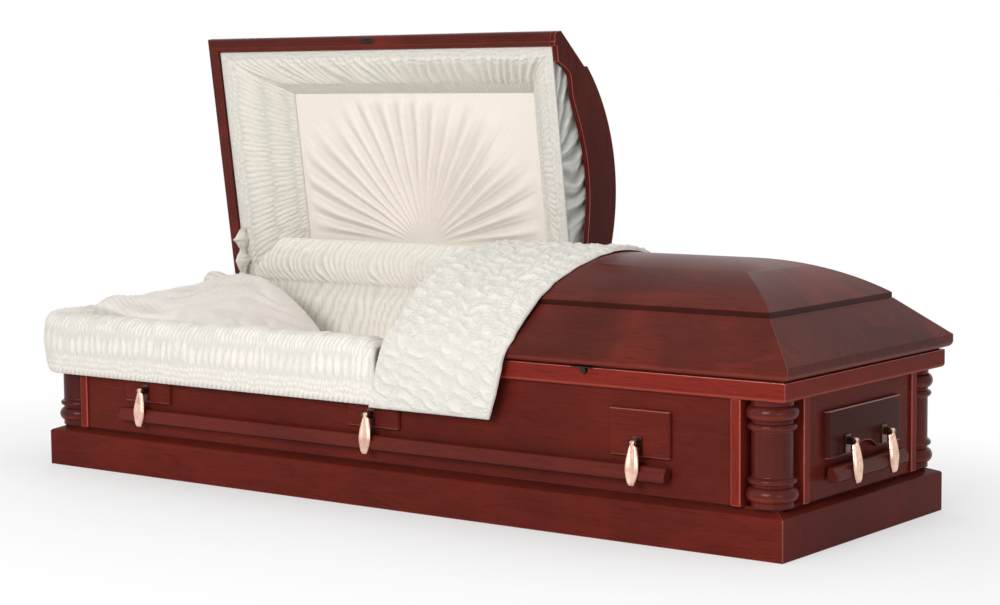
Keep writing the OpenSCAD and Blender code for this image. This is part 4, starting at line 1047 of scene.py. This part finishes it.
def pillow():
    """A slack pillow across the head of the bed, its back corner propped up against the roll. Over a
    square from -1 to 1 both ways, the seam follows a height of its own, low at the front and foot; top
    and bottom part by a power of (1 - u squared)(1 - v squared), and the head side is rounded down to the
    seam. Creases lean away from the seam and fine ribs run from the head side."""
    low = corners_of("pillow")[0]
    a = np.sin(np.linspace(-np.pi / 2, np.pi / 2, 190))
    u, v = a[:, None], a[None, :]
    y0, y1 = low[1] - 0.010, 0.150
    x0, x1 = low[0] - 0.012, -0.556
    trim = 1 - 0.050 * (u * v) ** 4
    x = (x0 + x1) / 2 + (x1 - x0) / 2 * u * (1 - 0.040 * (1 - v ** 2)) * trim
    y = (y0 + y1) / 2 + (y1 - y0) / 2 * v * (1 - 0.035 * (1 - u ** 2)) * trim
    back = np.interp(x, [-0.985, -0.940, -0.880, -0.824, -0.770, -0.706, -0.655, -0.603, -0.563, -0.540],
                     [0.405, 0.424, 0.441, 0.447, 0.440, 0.413, 0.381, 0.343, 0.312, 0.300])
    front = 0.296 + 0.102 * ((1 - u) / 2) ** 0.8 + 0 * v
    lift = ease(v, -0.5, 1.0)
    seam_z = front * (1 - lift) + back * lift
    body = np.sqrt(np.clip((1 - u ** 2) * (1 - v ** 2), 0, 1)) ** 0.75
    crease = gather(u * 2.2 - v * 1.5 + 0.9 * lattice(u * 2.4 + 9, v * 2.4 + 9, 71), 1.4)
    slack = lattice(u * 5 + v * 3 + 20, v * 3 - u * 2 + 20, 72)
    rib = 0.5 + 0.5 * np.sin(2 * np.pi * (y * 0.9 + x * 0.35) / 0.0125 + 2.4 * lattice(x * 18, y * 18, 73))
    ribbed = 1 - ease(u, -0.35, 0.35)
    corner = (np.abs(u) * np.abs(v)) ** 6
    full = (1 - 0.90 * ease(v, -0.45, 0.75)) * (1 - 0.42 * ease(-u, 0.0, 0.9))
    puff = 0.044 * body * full + (0.0095 * crease + 0.0075 * slack) * body ** 0.6 * (0.4 + 0.6 * full)
    puff = puff + 0.0014 * rib * ribbed * body ** 0.2
    puff = puff + 0.016 * np.exp(-((u + 0.72) / 0.30) ** 2 - ((v + 0.80) / 0.25) ** 2) * body ** 0.35
    # fold paints shade in the creases and between the ribs, and darkens along the seam.
    fold = 0.66 + 0.34 * crease + 0.2 * slack - 0.28 * (1 - rib) * ribbed - 0.6 * (1 - body) ** 10
    ramp_high, ramp_foot, ramp_head = 0.057, 0.880, 0.906  # the underside rises clear of the corner posts
    bed = BED + 0.0008 + ramp_high * ease(-x, ramp_foot, ramp_head)
    shoulder = 1 - np.clip((x - x[:1]) / 0.034, 0, 1)
    drop = 0.62 * np.maximum(seam_z - bed, 0) * (1 - np.sqrt(1 - shoulder ** 2))
    top = grid(x, y, seam_z + puff - 0.010 * corner - drop)
    under = np.minimum(seam_z - drop, np.maximum(bed, seam_z - drop - 0.16 * body ** 0.6))
    inside = slice(1, -1)
    points = doubled(top, grid(x, y, under), inside)
    piece = surface("pillow_cloth", points, False, True, doubled(fold, fold, inside))
    soft(piece, pillow_crepe, "pillow", 0.5)
    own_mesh(piece)


def stay_sleeve():
    """The cloth sleeve on the folding stay: a flat tube pinched into two sharp lozenges, one above the
    other, which zigzag as they go up."""
    k = np.linspace(0, 1, 120)[:, None]
    foot, length, first, lozenge = 0.415, 0.137, 0.436, 0.0575
    middle_x, middle_y = -1.0075, 0.318
    z = foot + length * k
    step = (z - first) / lozenge
    saw = 1 - np.abs(1 - 2 * (step % 1))
    half = np.where(z < first, 0.014, 0.009 + 0.024 * saw)
    half = half * np.sqrt(np.clip(np.minimum(k, 1 - k) / 0.025, 0.02, 1))
    t = around(44)[None, :]
    lean = 0.005 * np.where(np.floor(step) % 2 == 0, 1, -1) * saw
    y = middle_y + lean + half * superellipse(np.cos(t), 1.3)
    x = middle_x + 0.0125 * superellipse(np.sin(t), 1.2) * (0.5 + 0.5 * saw)
    crease = 0.0016 * lattice(z * 130, t * 2, 81)
    points = grid(x + crease, y, z + 0.25 * (y - middle_y) * np.cos(np.pi * step))
    # fold paints shade at the pinched waists.
    fold = 0.15 + saw * 1.3 + 0 * t
    piece = surface("stay_sleeve_cloth", points, False, True, fold)
    soft(piece, pillow_crepe, "lid_support", 0.1)
    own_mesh(piece)


def foot_lid_lining():
    """Crepe inside the foot lid: a puffed border that rises to a plain gathered panel, as one sheet with
    a back."""
    inset, wide_split, wide_foot, wide_side = 0.0365, 0.13, 0.15, 0.114
    x = np.linspace(SPLIT + 0.020, LID_X - 0.047, 220)[:, None]
    y = np.linspace(-LID_Y + inset, LID_Y - inset, 130)[None, :]
    edge_x = np.minimum((x - x[0]) / wide_split, (x[-1] - x) / wide_foot)
    edge_y = (LID_Y - inset - np.abs(y)) / wide_side
    u = np.clip(np.minimum(edge_x, edge_y), 0, 1)
    h = 0.005 + 0.097 * (u ** 1.1 - 0.12 * np.sin(np.pi * u))
    wander = 0.5 * lattice(x * 14, y * 14, 91)
    fold = gather(x / 0.024 + wander + 0.4 * np.sin(y * 9), 0.8)
    relief = 0.004 * fold * ease(u, 0.02, 0.1)
    kept = sparse(y.size, 8, 4)
    front = grid(x, y, RIM + h - relief + 0.002)
    back = grid(x, y, RIM + np.minimum(h + 0.006, 0.1085))
    # fold also paints shade into the gathers' valleys.
    piece = surface("foot_lid_cloth", doubled(front, back, kept), False, True, doubled(fold, fold, kept))
    soft(piece, border_crepe, "foot_lid_lining", 0.3)


for make in (fold_out, throw, lid_border, header_gusset, sunburst, hinge_roll, body_lining, mattress, pillow,
             stay_sleeve, foot_lid_lining):
    make()

# ---------- stage ----------


def background_rays(tree):
    """1 for the rays that see the white background: from the camera, mirrored or let through."""
    rays = add(tree, "LightPath").outputs
    seen = math(tree, "MAXIMUM", rays["Is Camera Ray"], rays["Is Glossy Ray"])
    return math(tree, "MAXIMUM", seen, rays["Is Transmission Ray"])


def mix_shaders(tree, share, first, second, output):
    """Feeds the output node first, and second in its stead by share."""
    mix = add(tree, "MixShader")
    for socket, value in zip(mix.inputs, (share, first, second)):
        tree.links.new(value, socket)
    tree.links.new(mix.outputs[0], tree.nodes[output].inputs["Surface"])


def pale_floor():
    """A pale floor that keeps the shadow and fades to the white background."""
    mesh = bpy.data.meshes.new("floor")
    size = 9.0
    corners = [(-size, -size, 0), (size, -size, 0), (size, size, 0), (-size, size, 0)]
    mesh.from_pydata(corners, [], [(0, 1, 2, 3)])
    floor = new_object("floor", mesh)
    mat = bpy.data.materials.new("pale_floor")
    mat.use_nodes = True
    tree = mat.node_tree
    shader = tree.nodes["Principled BSDF"]
    feed_all(tree, shader.inputs, Base_Color=(0.86, 0.86, 0.86, 1), Roughness=0.9)
    place = add(tree, "TexCoord")
    far = add(tree, "VectorMath", operation="LENGTH")
    tree.links.new(mapped(tree, place.outputs["Object"], Scale=(0.62, 1.0, 1.0)), far.inputs[0])
    fade = ramp(tree, far.outputs["Value"], 0.45, 1.5, 0.42, 1.0, "SMOOTHSTEP")
    white = add(tree, "Emission", Color=(1, 1, 1, 1), Strength=1.0)
    share = product(tree, fade, background_rays(tree))
    mix_shaders(tree, share, shader.outputs[0], white.outputs[0], "Material Output")
    mesh.materials.append(mat)


def studio_world():
    """Soft white light from all round, behind which the background shows plain white."""
    world = bpy.data.worlds.new("studio")
    bpy.context.scene.world = world
    world.use_nodes = True
    tree = world.node_tree
    sky = tree.nodes["Background"]
    feed_all(tree, sky.inputs, Color=(1, 1, 1, 1), Strength=0.50)
    plain = add(tree, "Background", Color=(1, 1, 1, 1), Strength=1.0)
    mix_shaders(tree, background_rays(tree), sky.outputs[0], plain.outputs[0], "World Output")


def lamp(name, place, aim, size, power):
    """A soft rectangular lamp that looks from place at aim."""
    data = bpy.data.lights.new(name, "AREA")
    data.shape = "RECTANGLE"
    data.size, data.size_y = size
    data.energy = power
    item = new_object(name, data)
    item.location = place
    item.rotation_euler = (Vector(aim) - Vector(place)).to_track_quat("-Z", "Y").to_euler()


def camera(place, turn, down, roll, lens):
    """The scene's camera: turned from looking along Y, tipped down and rolled, all in degrees."""
    turn, down, roll = np.radians([turn, down, roll])
    forward = Vector((-np.sin(turn) * np.cos(down), np.cos(turn) * np.cos(down), -np.sin(down)))
    right = Vector((np.cos(turn), np.sin(turn), 0))
    above = right.cross(forward)
    right, above = right * np.cos(roll) + above * np.sin(roll), above * np.cos(roll) - right * np.sin(roll)
    pose = Matrix((right, above, -forward)).transposed().to_4x4()
    pose.translation = Vector(place)
    data = bpy.data.cameras.new("camera")
    data.sensor_width = 36.0
    data.lens = lens
    data.clip_end = 60
    item = new_object("camera", data)
    item.matrix_world = pose
    bpy.context.scene.camera = item


pale_floor()
studio_world()
lamp("key_softbox", (0.9, -4.7, 2.0), (0.0, 0, 0.35), (2.4, 1.8), 168)
lamp("end_softbox", (4.8, -2.4, 0.8), (0.8, 0, 0.3), (1.6, 1.2), 24)
lamp("top_softbox", (0.6, 0.4, 3.4), (0.2, 0, 0.4), (2.6, 1.6), 18)
lamp("back_softbox", (-3.8, 3.2, 1.2), (0, 0, 0.3), (2.0, 1.2), 45)
camera((3.2911, -4.1947, 0.9540), turn=37.24, down=5.62, roll=-0.53, lens=82.94)
bpy.context.scene.view_settings.view_transform = "Standard"
